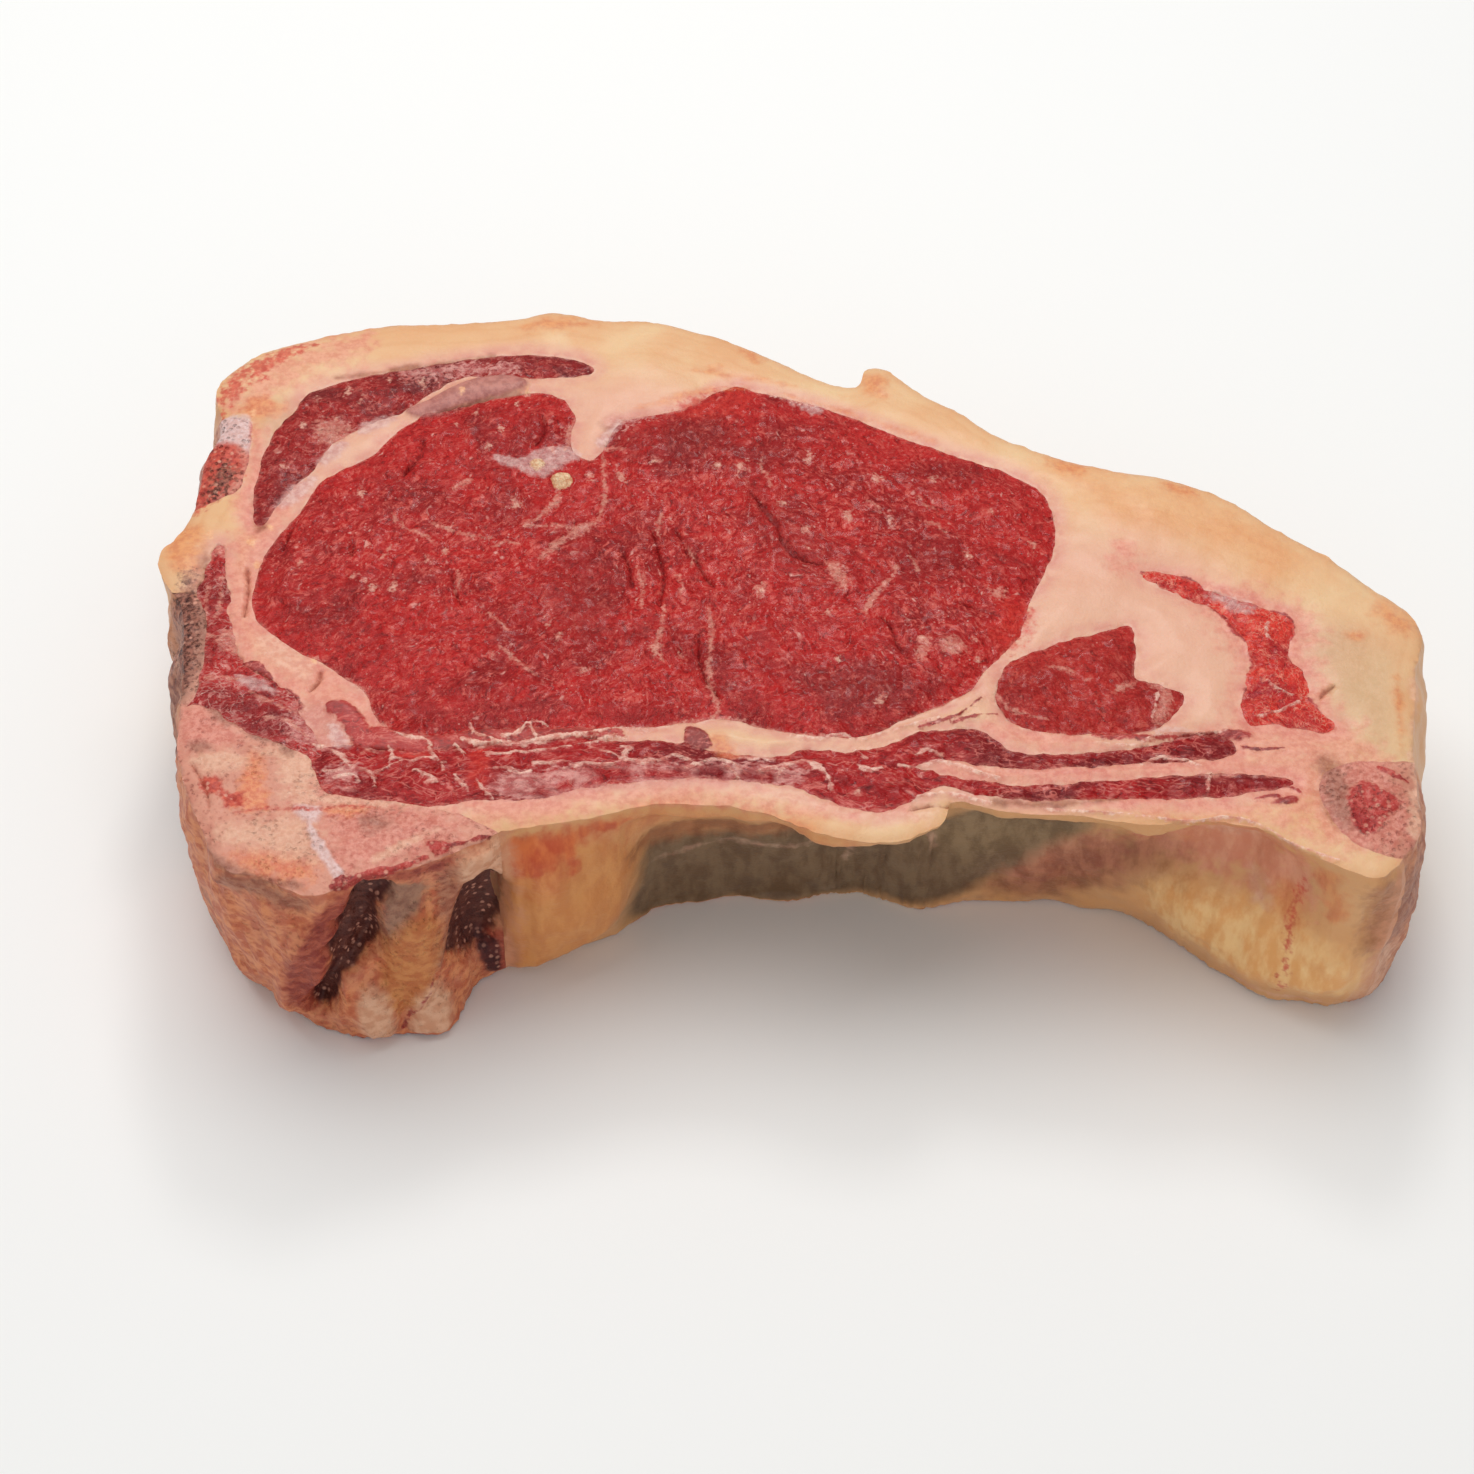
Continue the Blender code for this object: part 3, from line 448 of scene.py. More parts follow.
PATCHES = {  # softness and outline of each
    "fat": (
        (1.2, ((5.6, 20), (8, 19), (9.6, 14), (8.5, 12.5), (6.4, 16))),
        (0.9, ((27, -0.2), (30, 0.4), (31.6, -3), (29, -4), (26.8, -2.6))),
        (1.0, ((37, 13), (39.6, 13), (39.4, 10.8), (37.4, 10.8))),
        (0.9, ((22.4, -5), (22.4, -1.8), (24.4, 0.8), (24.8, -1.2), (23.6, -5))),
        (0.8, ((-25, -20), (-14, -18.3), (-5, -21.2), (8, -23.8), (-5, -25.2), (-5, -27.6), (-14, -28),
               (-17, -24))),
        (0.7, ((65.5, -10), (68, -12), (67, -16), (66, -20), (68.2, -19), (70, -15), (69.4, -10))),
        (1.4, ((-97, 58.4), (-92, 60), (-90, 56), (-92, 53.6), (-96, 54))),
        (0.7, ((-112, 1), (-108, 5.4), (-104, 4), (-100, 0), (-104, -3), (-108, -2))),
        (0.9, ((-116, 30), (-113.6, 29.6), (-112.2, 24.5), (-113.6, 24), (-115, 27))),
        (1.0, ((90, -27), (95, -24), (104, -26), (100, -30), (92, -30))),
        (0.8, ((-81.6, -26.6), (-79, -25.6), (-76.6, -24.4), (-77.6, -19.6), (-80, -19.6), (-79, -23.6))),
    ),
    "film": (
        (1.3, ((-52, -32), (-40, -30.6), (-30, -30), (-5, -29.6), (1, -31), (-3, -34), (-20, -34),
               (-35, -35.6),
               (-50, -38), (-57, -36.6), (-56, -33))),
        (1.6, ((-88, -31.4), (-84, -30), (-81, -32), (-84, -34), (-88, -34))),
        (1.8, ((-95.6, -14.6), (-91, -14), (-87, -17), (-84.6, -24), (-88, -25.6), (-95, -24), (-96, -19))),
        (2.0, ((-80, 75), (-66, 76.6), (-58, 76), (-58, 73.5), (-68, 73.6), (-78, 71.6))),
        (1.5, ((-38.5, 61), (-30, 63.4), (-24, 63.8), (-30, 61), (-37, 57))),
    ),
    # Pale haze: the pale strokes crowd here, partly pale fibres and partly a painted sheen.
    "strokes_and_sheen": (
        (6.0, ((-98, 34), (-80, 38), (-62, 34), (-52, 28), (-50, 16), (-62, 12), (-76, 20), (-96, 18))),
        (6.0, ((-40, 32), (-26, 36), (-8, 34), (4, 24), (8, 12), (-8, 4), (-24, 8), (-38, 12))),
        (4.0, ((-34, 46), (-16, 45), (-12, 40), (-30, 40))),
        (5.0, ((20, 10), (36, 14), (42, 4), (34, -6), (18, -6))),
        (5.0, ((0, 44), (16, 46), (24, 34), (14, 26), (0, 30))),
    ),
    "lilac": (
        (0.7, ((-61, 49.6), (-58.4, 50.6), (-55.4, 49.6), (-51, 52.4), (-46, 53), (-43.4, 50.6),
               (-46.4, 47.6),
               (-50.6, 44.2), (-54, 45.4), (-57.6, 47.4))),
        (0.9, ((-40.5, 54), (-38.6, 57), (-36.4, 60.4), (-35.2, 60), (-37.4, 56), (-38.6, 53))),
        (1.0, ((-103, 36.4), (-100, 37), (-97, 41), (-95.6, 45), (-98, 44), (-101.6, 40))),
        (0.9, ((-96, 47.6), (-93, 48.6), (-90, 53), (-91.6, 54.2), (-94.4, 52))),
        (0.9, ((-88.6, 56), (-84.6, 57.4), (-80.4, 61.6), (-82.6, 61.8), (-87.4, 59.4))),
        (0.9, ((-107, -7.4), (-101.6, -8.8), (-98.6, -12), (-103.6, -11), (-107, -9.2))),
        (1.2, ((-89, -19.6), (-86.6, -20), (-84.4, -25), (-87, -24.6))),
        (1.6, ((79, 13.4), (84.6, 11.8), (88, 9.6), (85.6, 7.6), (82, 9.8))),
        (1.0, ((-2, 66.6), (5.4, 65), (3.4, 62.4), (1, 65))),
        (1.2, ((66, -21.4), (70, -21), (73, -22), (69, -22.8))),
    ),
    "cartilage": (
        (0.8, ((-116.6, 61.4), (-111, 61.6), (-110.4, 58), (-109.8, 51), (-112, 53.4), (-117.4, 54))),
        (1.2, ((-93.4, -40.6), (-88.6, -40.4), (-88.8, -44), (-91, -44))),
    ),
    "brown": (
        (4.0, ((-10, 42), (-2, 34), (6, 24), (5, 17), (-3, 18), (-8, 28))),
        (4.5, ((-37, 58), (-22, 59.4), (-11, 56), (-14, 51), (-34, 51))),
        (1.2, ((-120.6, 14), (-116.4, 14), (-115.6, 4), (-116, -8), (-121, -11), (-121.6, 4))),
        (5.0, ((-47, 17), (-38, 18), (-37, 2), (-46, 4))),
        (4.0, ((2, -8), (14, -8), (17, -14), (4, -14))),
        (3.0, ((-116, 24), (-113, 14), (-110, 2), (-114, -6), (-117, 0))),
        (1.4, ((-112.6, -9), (-108.6, -12), (-104.4, -14), (-103.6, -18), (-106, -20.4), (-110.6, -18))),
        (1.2, ((-104, -20), (-100, -20.4), (-97.4, -22.6), (-99, -24.6), (-103, -23))),
        (1.0, ((-97, -23.4), (-94.4, -23), (-95, -27.4), (-96.6, -27))),
        (1.0, ((-114, -24.8), (-110.6, -24.6), (-109.4, -26.4), (-113, -27))),
        (2.0, ((-80.6, -42.6), (-76.4, -42.4), (-75, -45), (-79, -46))),
        (2.4, ((96, -29), (99.6, -29.4), (101.4, -38), (100, -45), (96.6, -41))),
        # painted shade under the lower side of the raised membrane fold
        (1.6, ((-74, 65), (-66, 67.6), (-61, 67.6), (-66, 63.8), (-73, 61.4))),
        (1.6, ((-107.6, 40), (-106, 34), (-104.4, 31), (-106.4, 30))),
    ),
    "membrane": (
        (0.9, ((-79.2, 63), (-75, 66), (-70.4, 69.6), (-65, 72.4), (-59, 73), (-54.8, 71), (-56, 68.6),
               (-60, 67),
               (-65, 65.6), (-70, 63.2), (-75, 61))),
    ),
    "crumb": (
        (0.5, ((-49, 44), (-46.6, 45.3), (-44.9, 43.8), (-45.4, 41.6), (-48, 41.2))),
        (0.8, ((-53.4, 48.6), (-51, 48.8), (-50.4, 46.6), (-52.6, 46))),
    ),
    "meat": (
        (0.6, ((-21.4, -20.6), (-18.2, -21.6), (-16.8, -25.6), (-21.4, -25.4))),
        (0.8, ((-81, -20.5), (-76, -20.4), (-68, -21.4), (-58, -20.6), (-46, -20.4), (-34, -21), (-34, -22.6),
               (-44, -23), (-46, -25), (-58, -25.2), (-66, -27), (-80, -27), (-84, -24.6))),
        (0.6, ((-41, -31), (-32.6, -31.2), (-31.4, -33.6), (-35, -34.8), (-40.6, -34.6), (-37.6, -33))),
        (0.6, ((-49, -35.6), (-46.4, -36), (-46.6, -37.4), (-49.6, -37.6))),
        (0.5, ((-45, -34.4), (-42.4, -34.2), (-43, -35.8), (-45.6, -36))),
        (0.6, ((-29, -31.4), (-25.6, -31.4), (-22.4, -30.8), (-22, -32.8), (-28.6, -33.2))),
        (0.6, ((-19.6, -31.6), (-17.6, -30.2), (-14.8, -30.2), (-14.4, -32.8), (-19.6, -32.8))),
        (0.6, ((-11, -31.2), (-8, -31.8), (-5.4, -31.4), (-5, -33.4), (-8, -33.6), (-11, -33))),
        (0.7, ((-89.8, -15.4), (-87, -13.8), (-84, -15.4), (-81.6, -19), (-80, -23.6), (-82.6, -25),
               (-84.4, -23),
               (-86.6, -19))),
        (0.8, ((-99.6, -10.8), (-96, -11.4), (-93.6, -16), (-97.6, -15.4))),
        (0.7, ((66, 19), (75, 17.4), (78, 15), (77.4, 12), (75, 11.6), (71.6, 14.8))),
        (0.7, ((78, 11.4), (83, 9), (86.6, 8), (92.4, 8.8), (95.2, 5), (93.4, 0.6), (90.4, 1), (86, 0.6),
               (82.6, 3), (82, 6))),
        (0.7, ((86, -0.8), (89, -0.6), (93, -4), (95.6, -9.6), (93.4, -12.6), (90, -11.8), (86, -9),
               (85.6, -4))),
        (0.8, ((84, -11), (88, -8.6), (91, -12), (96, -13), (97.6, -18.6), (92, -19.4), (83.8, -18))),
        (0.9, ((-68.4, -48.6), (-65, -48.4), (-64.6, -50.4), (-67, -51.4))),
        (0.9, ((55, -21.8), (68, -22.6), (81, -21), (84, -23), (70, -24), (56, -23.6))),
        (0.8, ((86.6, -38.4), (90.6, -37.2), (91, -38.6), (87.4, -39.6))),
        (1.2, ((100.6, -38), (101.6, -35.4), (104, -34.2), (107, -36.2), (110, -39.2), (107.6, -42),
               (105.4, -45.6),
               (102, -46.2), (100.4, -42))),
    ),
    "tan": (
        (6.0, ((98, 4), (106, 4), (112, -2), (111, -24), (106, -25), (100, -14), (97, -4))),
        (5.0, ((-112, 66), (-104, 66), (-101, 60), (-108, 50), (-108, 58))),
    ),
    "pink": (
        (3.0, ((62, 26.4), (65.6, 26.8), (65, 19.6), (61.6, 20))),
        (4.0, ((76, 17), (90, 12), (99, 6), (98, -6), (100, -18), (92, -22), (80, -20), (84, -6), (80, 2),
               (78, 9))),
        (4.0, ((80, -19), (100, -18), (108, -28), (112, -46), (100, -50), (90, -42), (80, -36), (76, -30))),
        (3.0, ((84, -20), (92, -19.4), (101, -21), (104, -26), (96, -26), (86, -24))),
        (3.0, ((40, -36), (80, -37), (92, -44), (96, -50), (86, -43), (60, -40))),
        (2.4, ((30, -28.6), (40, -30.4), (76, -27), (92, -28), (92, -35), (80, -31.6), (40, -34.4),
               (26, -31))),
        (2.4, ((34, -22), (42, -26), (56, -24.6), (50, -22.4), (38, -20))),
        (3.0, ((-110, 50), (-104, 52), (-98, 44), (-101, 34), (-104, 20), (-103, 6), (-94, -2), (-86, -8),
               (-79, -18),
               (-82, -26), (-92, -16), (-104, -6), (-110, 4), (-111, 20), (-110, 34))),
        (2.4, ((-112.6, 26), (-108, 20), (-105.6, 22), (-106, 8), (-104, 2), (-108, 4), (-110, 14))),
        (3.0, ((-90, -8), (-84, -10), (-78, -18), (-77, -23), (-82, -20), (-90, -12))),
        (4.0, ((-88, -40), (-70, -40), (-62, -44), (-68, -50), (-80, -55), (-86, -50))),
        (4.0, ((-116, 66), (-108, 76), (-99, 83), (-88, 86), (-90, 78), (-104, 70), (-108, 62))),
        (3.0, ((-92, -36), (-60, -38), (-30, -35), (0, -37.6), (20, -40.4), (0, -41), (-40, -39.6),
               (-60, -41.6),
               (-90, -40))),
        (2.6, ((-116.6, -15), (-111, -16), (-104.6, -23), (-110, -26.6), (-116, -24))),
        (2.4, ((-111, 60), (-108, 57), (-107.6, 46), (-109, 35), (-112, 36), (-110, 46))),
        (2.6, ((-64, -37.4), (-46, -36.4), (-36, -39), (-46, -42.6), (-58, -43.6))),
    ),
    "blood": (
        (1.6, ((-117.4, 67), (-115, 74), (-107, 80.6), (-101, 83.2), (-104.6, 78.6), (-111, 74.6),
               (-114, 68))),
        (1.0, ((-62, -25), (-58.6, -25), (-58, -30), (-58.8, -35), (-61.4, -34.6))),
        (1.6, ((-117.6, 53.4), (-113, 53), (-110.8, 49), (-111.8, 43), (-114.6, 40), (-119.4, 36.2),
               (-119, 46))),
        (2.0, ((-24, 64), (-16, 68.6), (-9, 68), (-12, 62), (-22, 61))),
        (2.5, ((40, 10), (44.4, 8), (43, 2), (38.4, -2), (36, 2))),
        (2.0, ((-76, -25.6), (-71, -25.4), (-69.6, -28), (-74, -28.4))),
    ),
    "orange": (
        (1.6, ((-112, 60.6), (-106, 61), (-104, 64.6), (-111, 66.6))),
        (2.5, ((-57, 87), (-50, 90), (-42, 89), (-48, 86))),
        (1.8, ((-11, 82), (-6.4, 80.6), (-8.4, 77.6))),
        (1.4, ((-18, 76), (-15, 76), (-16, 74))),
        (2.0, ((13.6, 74), (17, 74.6), (18.6, 69), (15, 69))),
        (2.2, ((51, 50), (57, 48), (56, 45), (52, 46))),
        (2.2, ((73, 43.6), (79, 41.6), (78, 38.6), (74, 40))),
        (1.6, ((105, 2.4), (108, 2.6), (108, 0.8), (105.4, 0.8))),
        (3.0, ((112, 12), (118, 7), (117, 3), (112, 6))),
        (2.5, ((-104, -51), (-96, -51), (-89, -54), (-90, -58), (-99, -56))),
        (1.4, ((-103, -27.6), (-100.4, -28.6), (-99.4, -34), (-98, -40.6), (-104, -41), (-103.6, -34))),
        (1.2, ((-87, -40.6), (-82, -39.6), (-80, -41.6), (-85, -42.6))),
        (1.4, ((-17, -23), (-13.6, -23.6), (-12, -27.4), (-15.6, -27.4))),
        (1.8, ((-124, 27), (-120, 32), (-117, 30), (-118, 20), (-121, 19))),
        (2.4, ((-29, -39.4), (-21, -39), (-20, -43), (-30, -43))),
        (2.4, ((-14, -40.6), (-6, -40.8), (4, -44), (-6, -45))),
    ),
    "warm": (
        (6.0, ((50, 50), (66, 45), (77, 42), (87, 36), (96, 28), (102, 21), (96, 15), (84, 21), (74, 28),
               (62, 35),
               (50, 42))),
    ),
    "pale": (
        (1.4, ((-113.4, -27.8), (-104, -27.6), (-102.6, -30.6), (-110, -31.8))),
        (1.2, ((-104, 2.4), (-99.4, 2.6), (-92.4, -4.6), (-93.4, -8.6), (-98.6, -5.4), (-103.4, -1))),
        (1.8, ((-101, -25.6), (-91, -28), (-89.4, -36), (-84, -37.2), (-65, -39), (-60, -40.6), (-70, -39.8),
               (-88, -39.6), (-95, -38), (-97, -30))),
        (2.0, ((-10, -36), (6, -40), (22, -42.6), (25, -39), (16, -40.6), (0, -37))),
        (2.6, ((-108, -46), (-92, -43), (-88.4, -50), (-90, -53), (-104, -49))),
    ),
    "dark": (
        (1.0, ((100.6, -41), (103, -41.6), (104.6, -45), (102, -46))),
    ),
    "murk": (
        (1.8, ((-115.6, 48), (-112.4, 46.8), (-113.4, 41.6), (-116.8, 39.6))),
        (1.8, ((-119.6, 19), (-117.4, 18), (-115.4, 10), (-115.6, -3), (-116.4, -9.6), (-119.8, -10),
               (-120.4, 4))),
    ),
}
# Pale specks of fat; the one at (-69, 24) is a painted highlight, a glint.
FLECKS = (
    (-35, 43.5, 0.8), (-11.3, 46.5, 0.8), (-15.6, 46.8, 0.45), (2.4, 49, 0.7), (15.7, 43.4, 0.75),
    (10, 32.6, 0.8), (18, 31.2, 0.6), (-7.2, 13.4, 0.8), (23.3, 0.2, 0.7), (15, -15.2, 0.6),
    (-46.2, 1.5, 0.55), (-41.3, 45, 0.5), (27.2, 43.4, 0.5), (46, 25.6, 0.5), (-56, 37, 0.7),
    (-93, 60, 0.4), (-76, 70.4, 0.5), (-61.6, 53, 0.45), (-82.6, 13.6, 0.6), (-84.4, 16, 0.4),
    (-69, 24, 0.45), (-86.5, 39.6, 0.7), (-104, 31, 0.4), (-41.2, -7, 0.6), (-22.8, -3, 0.5),
    (-27.6, -1.4, 0.7), (7.2, -4.7, 0.5), (-58.6, -3, 0.4), (-97, 66, 0.4), (-78.6, 14.4, 0.6),
    (33, 22, 0.5), (38, 34, 0.4), (2, 24, 0.4), (-3, 36, 0.4), (-49, 52, 0.4), (-28.4, 48.6, 0.5),
    (-92.6, -3, 0.6), (-97.4, 21, 0.35), (-86.6, 17, 0.5), (-54.6, 68, 0.5), (-56.6, 65, 0.4), (-65, 62, 0.4),
    (-68.6, 59, 0.5), (-72.4, 21.6, 0.5), (-59.6, 57.4, 0.4), (33.4, 0, 0.4), (34, -4.6, 0.5), (5.4, 7, 0.5),
    (66, -27.6, 0.3), (26, -27.6, 0.5), (-84, 25.4, 0.3), (-48.6, 5, 0.35), (10.4, -36, 0.5), (-107, 27, 0.8),
    (-91, 68.6, 0.5), (-88.4, 65.2, 0.4), (-99.4, 58, 0.5), (-102.6, 47, 0.5), (-104.2, 51.4, 0.4),
    (-83, 71.6, 0.4), (-105.6, 21, 0.7), (-115.6, 29.4, 0.6), (-110, 62, 0.6), (-112, 17.6, 0.4),
    (1.6, 29, 0.6), (-68, 68, 0.5),
)
print({kind: len(marks[1]) for kind, marks in LINES.items()})
print({kind: len(marks) for kind, marks in PATCHES.items()}, len(FLECKS), "flecks")

# %% [markdown]
# ## Triangles of the cut face
# A grid of squares would give stair-stepped borders. A constrained Delaunay triangulation takes
# every outline as a row of edges, so two neighbouring pieces share one frayed border exactly, with
# no crack between them. The lean gets a finer grid than the fat, because its grain is finer, and
# every thin mark gets rows of vertices of its own, so that it comes out sharp.

# %% Triangulate the plan
BUSY_STEP = 0.47
LEAN_STEP = 0.62
PLAIN_STEP = 0.95
RAIL_STEP = 0.35
SHARP = ("fat", "thread", "meat", "crease", "cartilage")  # marks whose lines get vertices of their own
BUSY = closed_curve((  # the bone edge, where most threads and seams lie
    (-119, 28), (-104, 22), (-90, -4), (-76, -18), (-40, -19), (0, -19), (30, -15), (40, -20),
    (95, -20), (110, -28), (114, -42), (103, -52), (92, -42), (60, -40), (30, -40), (-10, -36),
    (-52, -42), (-66, -53), (-88, -61), (-108, -52), (-119, -20),
), 2.0)


def grid(step, seed):
    """A loosened hexagon grid over the rim's box."""
    low, high = rim.min(0), rim.max(0)
    rows, columns = np.mgrid[0:int((high[1] - low[1]) / step / 0.866), 0:int((high[0] - low[0]) / step)]
    spots = np.stack([columns + rows % 2 / 2, rows * 0.866], -1).reshape(-1, 2) * step + low
    return spots + np.random.default_rng(seed).uniform(-0.13, 0.13, spots.shape) * step


def clear_of(points, line, gap):
    """Which points keep a gap to the vertices of a line."""
    tree = KDTree(len(line))
    for index, (x, y) in enumerate(line):
        tree.insert((x, y, 0), index)
    tree.balance()
    return np.array([tree.find((x, y, 0))[2] > gap for x, y in points.tolist()])


def in_lean(points):
    """Which points lie in any of the muscles."""
    return np.any([inside(points, outlines[name]) for name in LEAN], axis=0)


def rails(width, soft, points):
    """Rows of vertices along a line mark, so that its edges come out sharp."""
    middle = spline(points, RAIL_STEP)
    along = np.gradient(middle, axis=0)
    across = np.stack([-along[:, 1], along[:, 0]], 1) / np.linalg.norm(along, axis=1)[:, None]
    rows = [middle]
    for gap in (width + soft, width - soft):
        if gap > 0:
            rows += [middle[::2] + across[::2] * gap, middle[::2] - across[::2] * gap]
    return np.vstack(rows)


def ring_of(x, y, size):
    """The vertices round one fleck."""
    turn = np.linspace(0, 2 * math.pi, 8, endpoint=False)[:, None]
    round_it = np.hstack([np.cos(turn), np.sin(turn) / 0.7])
    return np.vstack([[(x, y)], *((x, y) + round_it * radius for radius in (size, size + 0.6))])


every_line = np.vstack([rim, *outlines.values()])
drawn = [rails(width, LINES[kind][0], points) for kind in SHARP for width, points in LINES[kind][1]]
drawn = np.vstack([*drawn, *(ring_of(*fleck) for fleck in FLECKS)])
_, first = np.unique(np.round(drawn / 0.26), axis=0, return_index=True)
drawn = drawn[np.sort(first)]
drawn = drawn[inside(drawn, rim)]
drawn = drawn[clear_of(drawn, every_line, 0.3)]

busy, fine, coarse = grid(BUSY_STEP, SEED), grid(LEAN_STEP, SEED + 1), grid(PLAIN_STEP, SEED + 2)
busy = busy[inside(busy, BUSY)]
fine = fine[in_lean(fine) & ~inside(fine, BUSY)]
coarse = coarse[inside(coarse, rim) & ~in_lean(coarse) & ~inside(coarse, BUSY)]
spots = np.vstack([busy, fine, coarse])
spots = spots[inside(spots, rim)]
spots = spots[clear_of(spots, np.vstack([every_line, drawn]), 0.36)]

points = [Vector(spot) for spot in np.vstack([spots, drawn])]
edges = []
for ring in [rim, *outlines.values()]:
    first = len(points)
    points += [Vector(corner) for corner in ring]
    edges += [(first + i, first + (i + 1) % len(ring)) for i in range(len(ring))]
plan, _, faces, *_ = delaunay_2d_cdt(points, edges, [], 0, 0.05, False)
plan = np.array(plan)
faces = np.array(faces)
middles = plan[faces].mean(1)
owner = np.full(len(faces), len(REGIONS))
for index, ring in reversed(list(enumerate(outlines.values()))):
    owner[inside(middles, ring)] = index
kept = inside(middles, rim)
owner = owner[kept]
used, faces = np.unique(faces[kept], return_inverse=True)
faces = faces.reshape(-1, 3)
plan = plan[used]
names = [*REGIONS, FAT]
print(len(drawn), "vertices along the marks")
print(len(faces), "triangles:", {name: int((owner == i).sum()) for i, name in enumerate(names)})

# %% [markdown]
# ## Outer walls that run back under the front edge
# The slice isn't a straight slab. Its walls bulge, flare out at the foot, and run well back under
# the front ledge, where the backbone's wing once lay. A lattice modifier could lean them, but it
# can't follow the rim this closely. So every anchor on the rim says how far the wall stands outside
# the cut edge at seven heights, and a point of the plan moves with the rim points near it, less and
# less towards the middle. Between the seven heights the walls follow a smooth curve.

# %% Name the walls and lean the plan with them
HEIGHTS = np.array((0.0, 0.14, 0.4, 0.66, 0.84, 0.93, 1.0))
SETTLED = (1.0, 1.0, 1.0, 1.0, 0.7, 0.2, 0.0)  # how far the rim's tags and folds are smoothed
WALLS = (
    ((-118, 70), (-1, 1, 3, 3, 2, 1)),
    ((-90, 87), (-2, 1, 3, 3.5, 2.5, 1.2)),
    ((25, 70), (-2, 1, 3, 3.5, 2.5, 1.2)),
    ((85, 39), (-2, 1, 3, 3.5, 2.5, 1.2)),
    ((118, 9), (0, 1.5, 3, 3, 2, 1)),
    ((116, -14), (3, 4, 4.5, 4, 2.5, 1.2)),
    ((113, -42), (2, 3, 3.5, 3, 2, 1)),
    ((105, -55.7), (-4, -1, 1, 1.5, 1.2, 0.5)),
    ((95, -52), (-2, -0.5, -0.5, -0.5, -0.5, 0)),
    ((85, -45), (-0.5, 0, -2, -4, -3, -0.5)),
    ((74, -43), (-8, -6, -6, -7.5, -5, -1)),
    ((62, -43.5), (-16, -13.5, -10.5, -9.5, -6.5, -1)),
    ((50, -41), (-17, -15, -12.5, -10, -7, -1.5)),
    ((28, -37.4), (-14, -13, -11, -9, -6, -1.5)),
    ((15, -47), (-24, -22.5, -20, -16.5, -11, -1.5)),
    ((3, -45), (-22, -20.5, -18, -14.5, -9, -1.5)),
    ((-10, -40), (-16.5, -15.5, -13.5, -10.5, -6, -1)),
    ((-27, -38.6), (-14, -13, -10.5, -8, -5, -1)),
    ((-35, -40.8), (-8, -6, -3.5, -2.5, -1.5, -0.3)),
    ((-46, -44), (-6, -3.5, -0.5, 0, 0, 0)),
    ((-53, -44.6), (-6, -6, -4, -3, -1, 0)),
    ((-58, -46.5), (-8, -9, -8, -5, -2.5, -0.8)),
    ((-67, -52.5), (3.5, 2, 0.5, 0, -0.5, 0)),
    ((-76, -55.5), (2.5, 0.5, -1, -1, -0.5, 0)),
    ((-88, -60.5), (-3, -1.5, -0.5, 0, 0.3, 0.5)),
    ((-106, -53), (-6, -3, 0, 1, 1, 0.5)),
    ((-115, -28), (-1, 0.5, 1.3, 1.4, 0.8, 0.3)),
    ((-117.5, -4), (0, 2, 3, 3, 2, 1)),
    ((-125, 24), (-4, -2, 0, 1, 1, 0.5)),
    ((-119.5, 38), (0, 2, 3, 3, 2, 1)),
)
WALL_CRAG = 0.7
BONE_CRAG = 1.3
REACH = 22.0  # how deep the lean of the walls reaches into the slice
TURN_PASSES = 60  # how often the directions of the walls are evened out
CALM_PASSES = 25  # how often the rim is evened out where its tags and folds fade
BATCH = 6000  # points of the plan that are leaned at a time


def soften(values, times):
    """A closed row of values, smoothed."""
    for _ in range(times):
        values = (values + np.roll(values, 1, 0) + np.roll(values, -1, 0)) / 3
    return values


def wobble(turn, seed, counts):
    """A smooth wobble of a position 0..1 round the rim."""
    dice = np.random.default_rng(seed)
    total = np.zeros_like(turn)
    for count in counts:
        total += np.sin(2 * math.pi * (count * turn + dice.random())) * dice.uniform(0.5, 1)
    return total / math.sqrt(len(counts))


guide = closed_curve(RIM, 2.0)
tangent = np.roll(guide, -1, 0) - np.roll(guide, 1, 0)
tangent /= np.hypot(*tangent.T)[:, None]
for _ in range(TURN_PASSES):
    tangent = tangent + np.roll(tangent, 1, 0) + np.roll(tangent, -1, 0)
    tangent /= np.hypot(*tangent.T)[:, None]
outward = np.stack([-tangent[:, 1], tangent[:, 0]], 1)
calm = soften(guide, CALM_PASSES) - guide
turn = np.arange(len(guide)) / len(guide)

places = [int(np.hypot(*(guide - anchor).T).argmin()) / len(guide) for anchor, _ in WALLS]
order = np.argsort(places)
places = np.array(places)[order]
stands = np.array([WALLS[i][1] for i in order], float)
crag = np.where((guide[:, 0] < -55) & (guide[:, 1] < 22), BONE_CRAG, WALL_CRAG)
pulls = []
for level in range(len(HEIGHTS) - 1):
    wrapped = np.concatenate([places[-1:] - 1, places, places[:1] + 1])
    values = np.concatenate([stands[-1:, level], stands[:, level], stands[:1, level]])
    out = soften(np.interp(turn, wrapped, values), 3) + wobble(turn, SEED + level, (23, 31, 41, 53)) * crag
    pulls.append(outward * out[:, None])
pulls = [pull + calm * SETTLED[level] for level, pull in enumerate([*pulls, 0 * calm])]

leans = np.empty((len(plan), len(HEIGHTS), 2))
for start in range(0, len(plan), BATCH):
    gaps = plan[start:start + BATCH, None] - guide
    weight = 1 / ((gaps**2).sum(2) + 0.5) ** 1.5
    weight /= (weight.sum(1) + 1 / REACH**2)[:, None]
    leans[start:start + BATCH] = (weight @ np.hstack(pulls)).reshape(-1, len(HEIGHTS), 2)
print("the plan moves by up to", np.hypot(*leans.reshape(-1, 2).T).max().round(1), "mm")

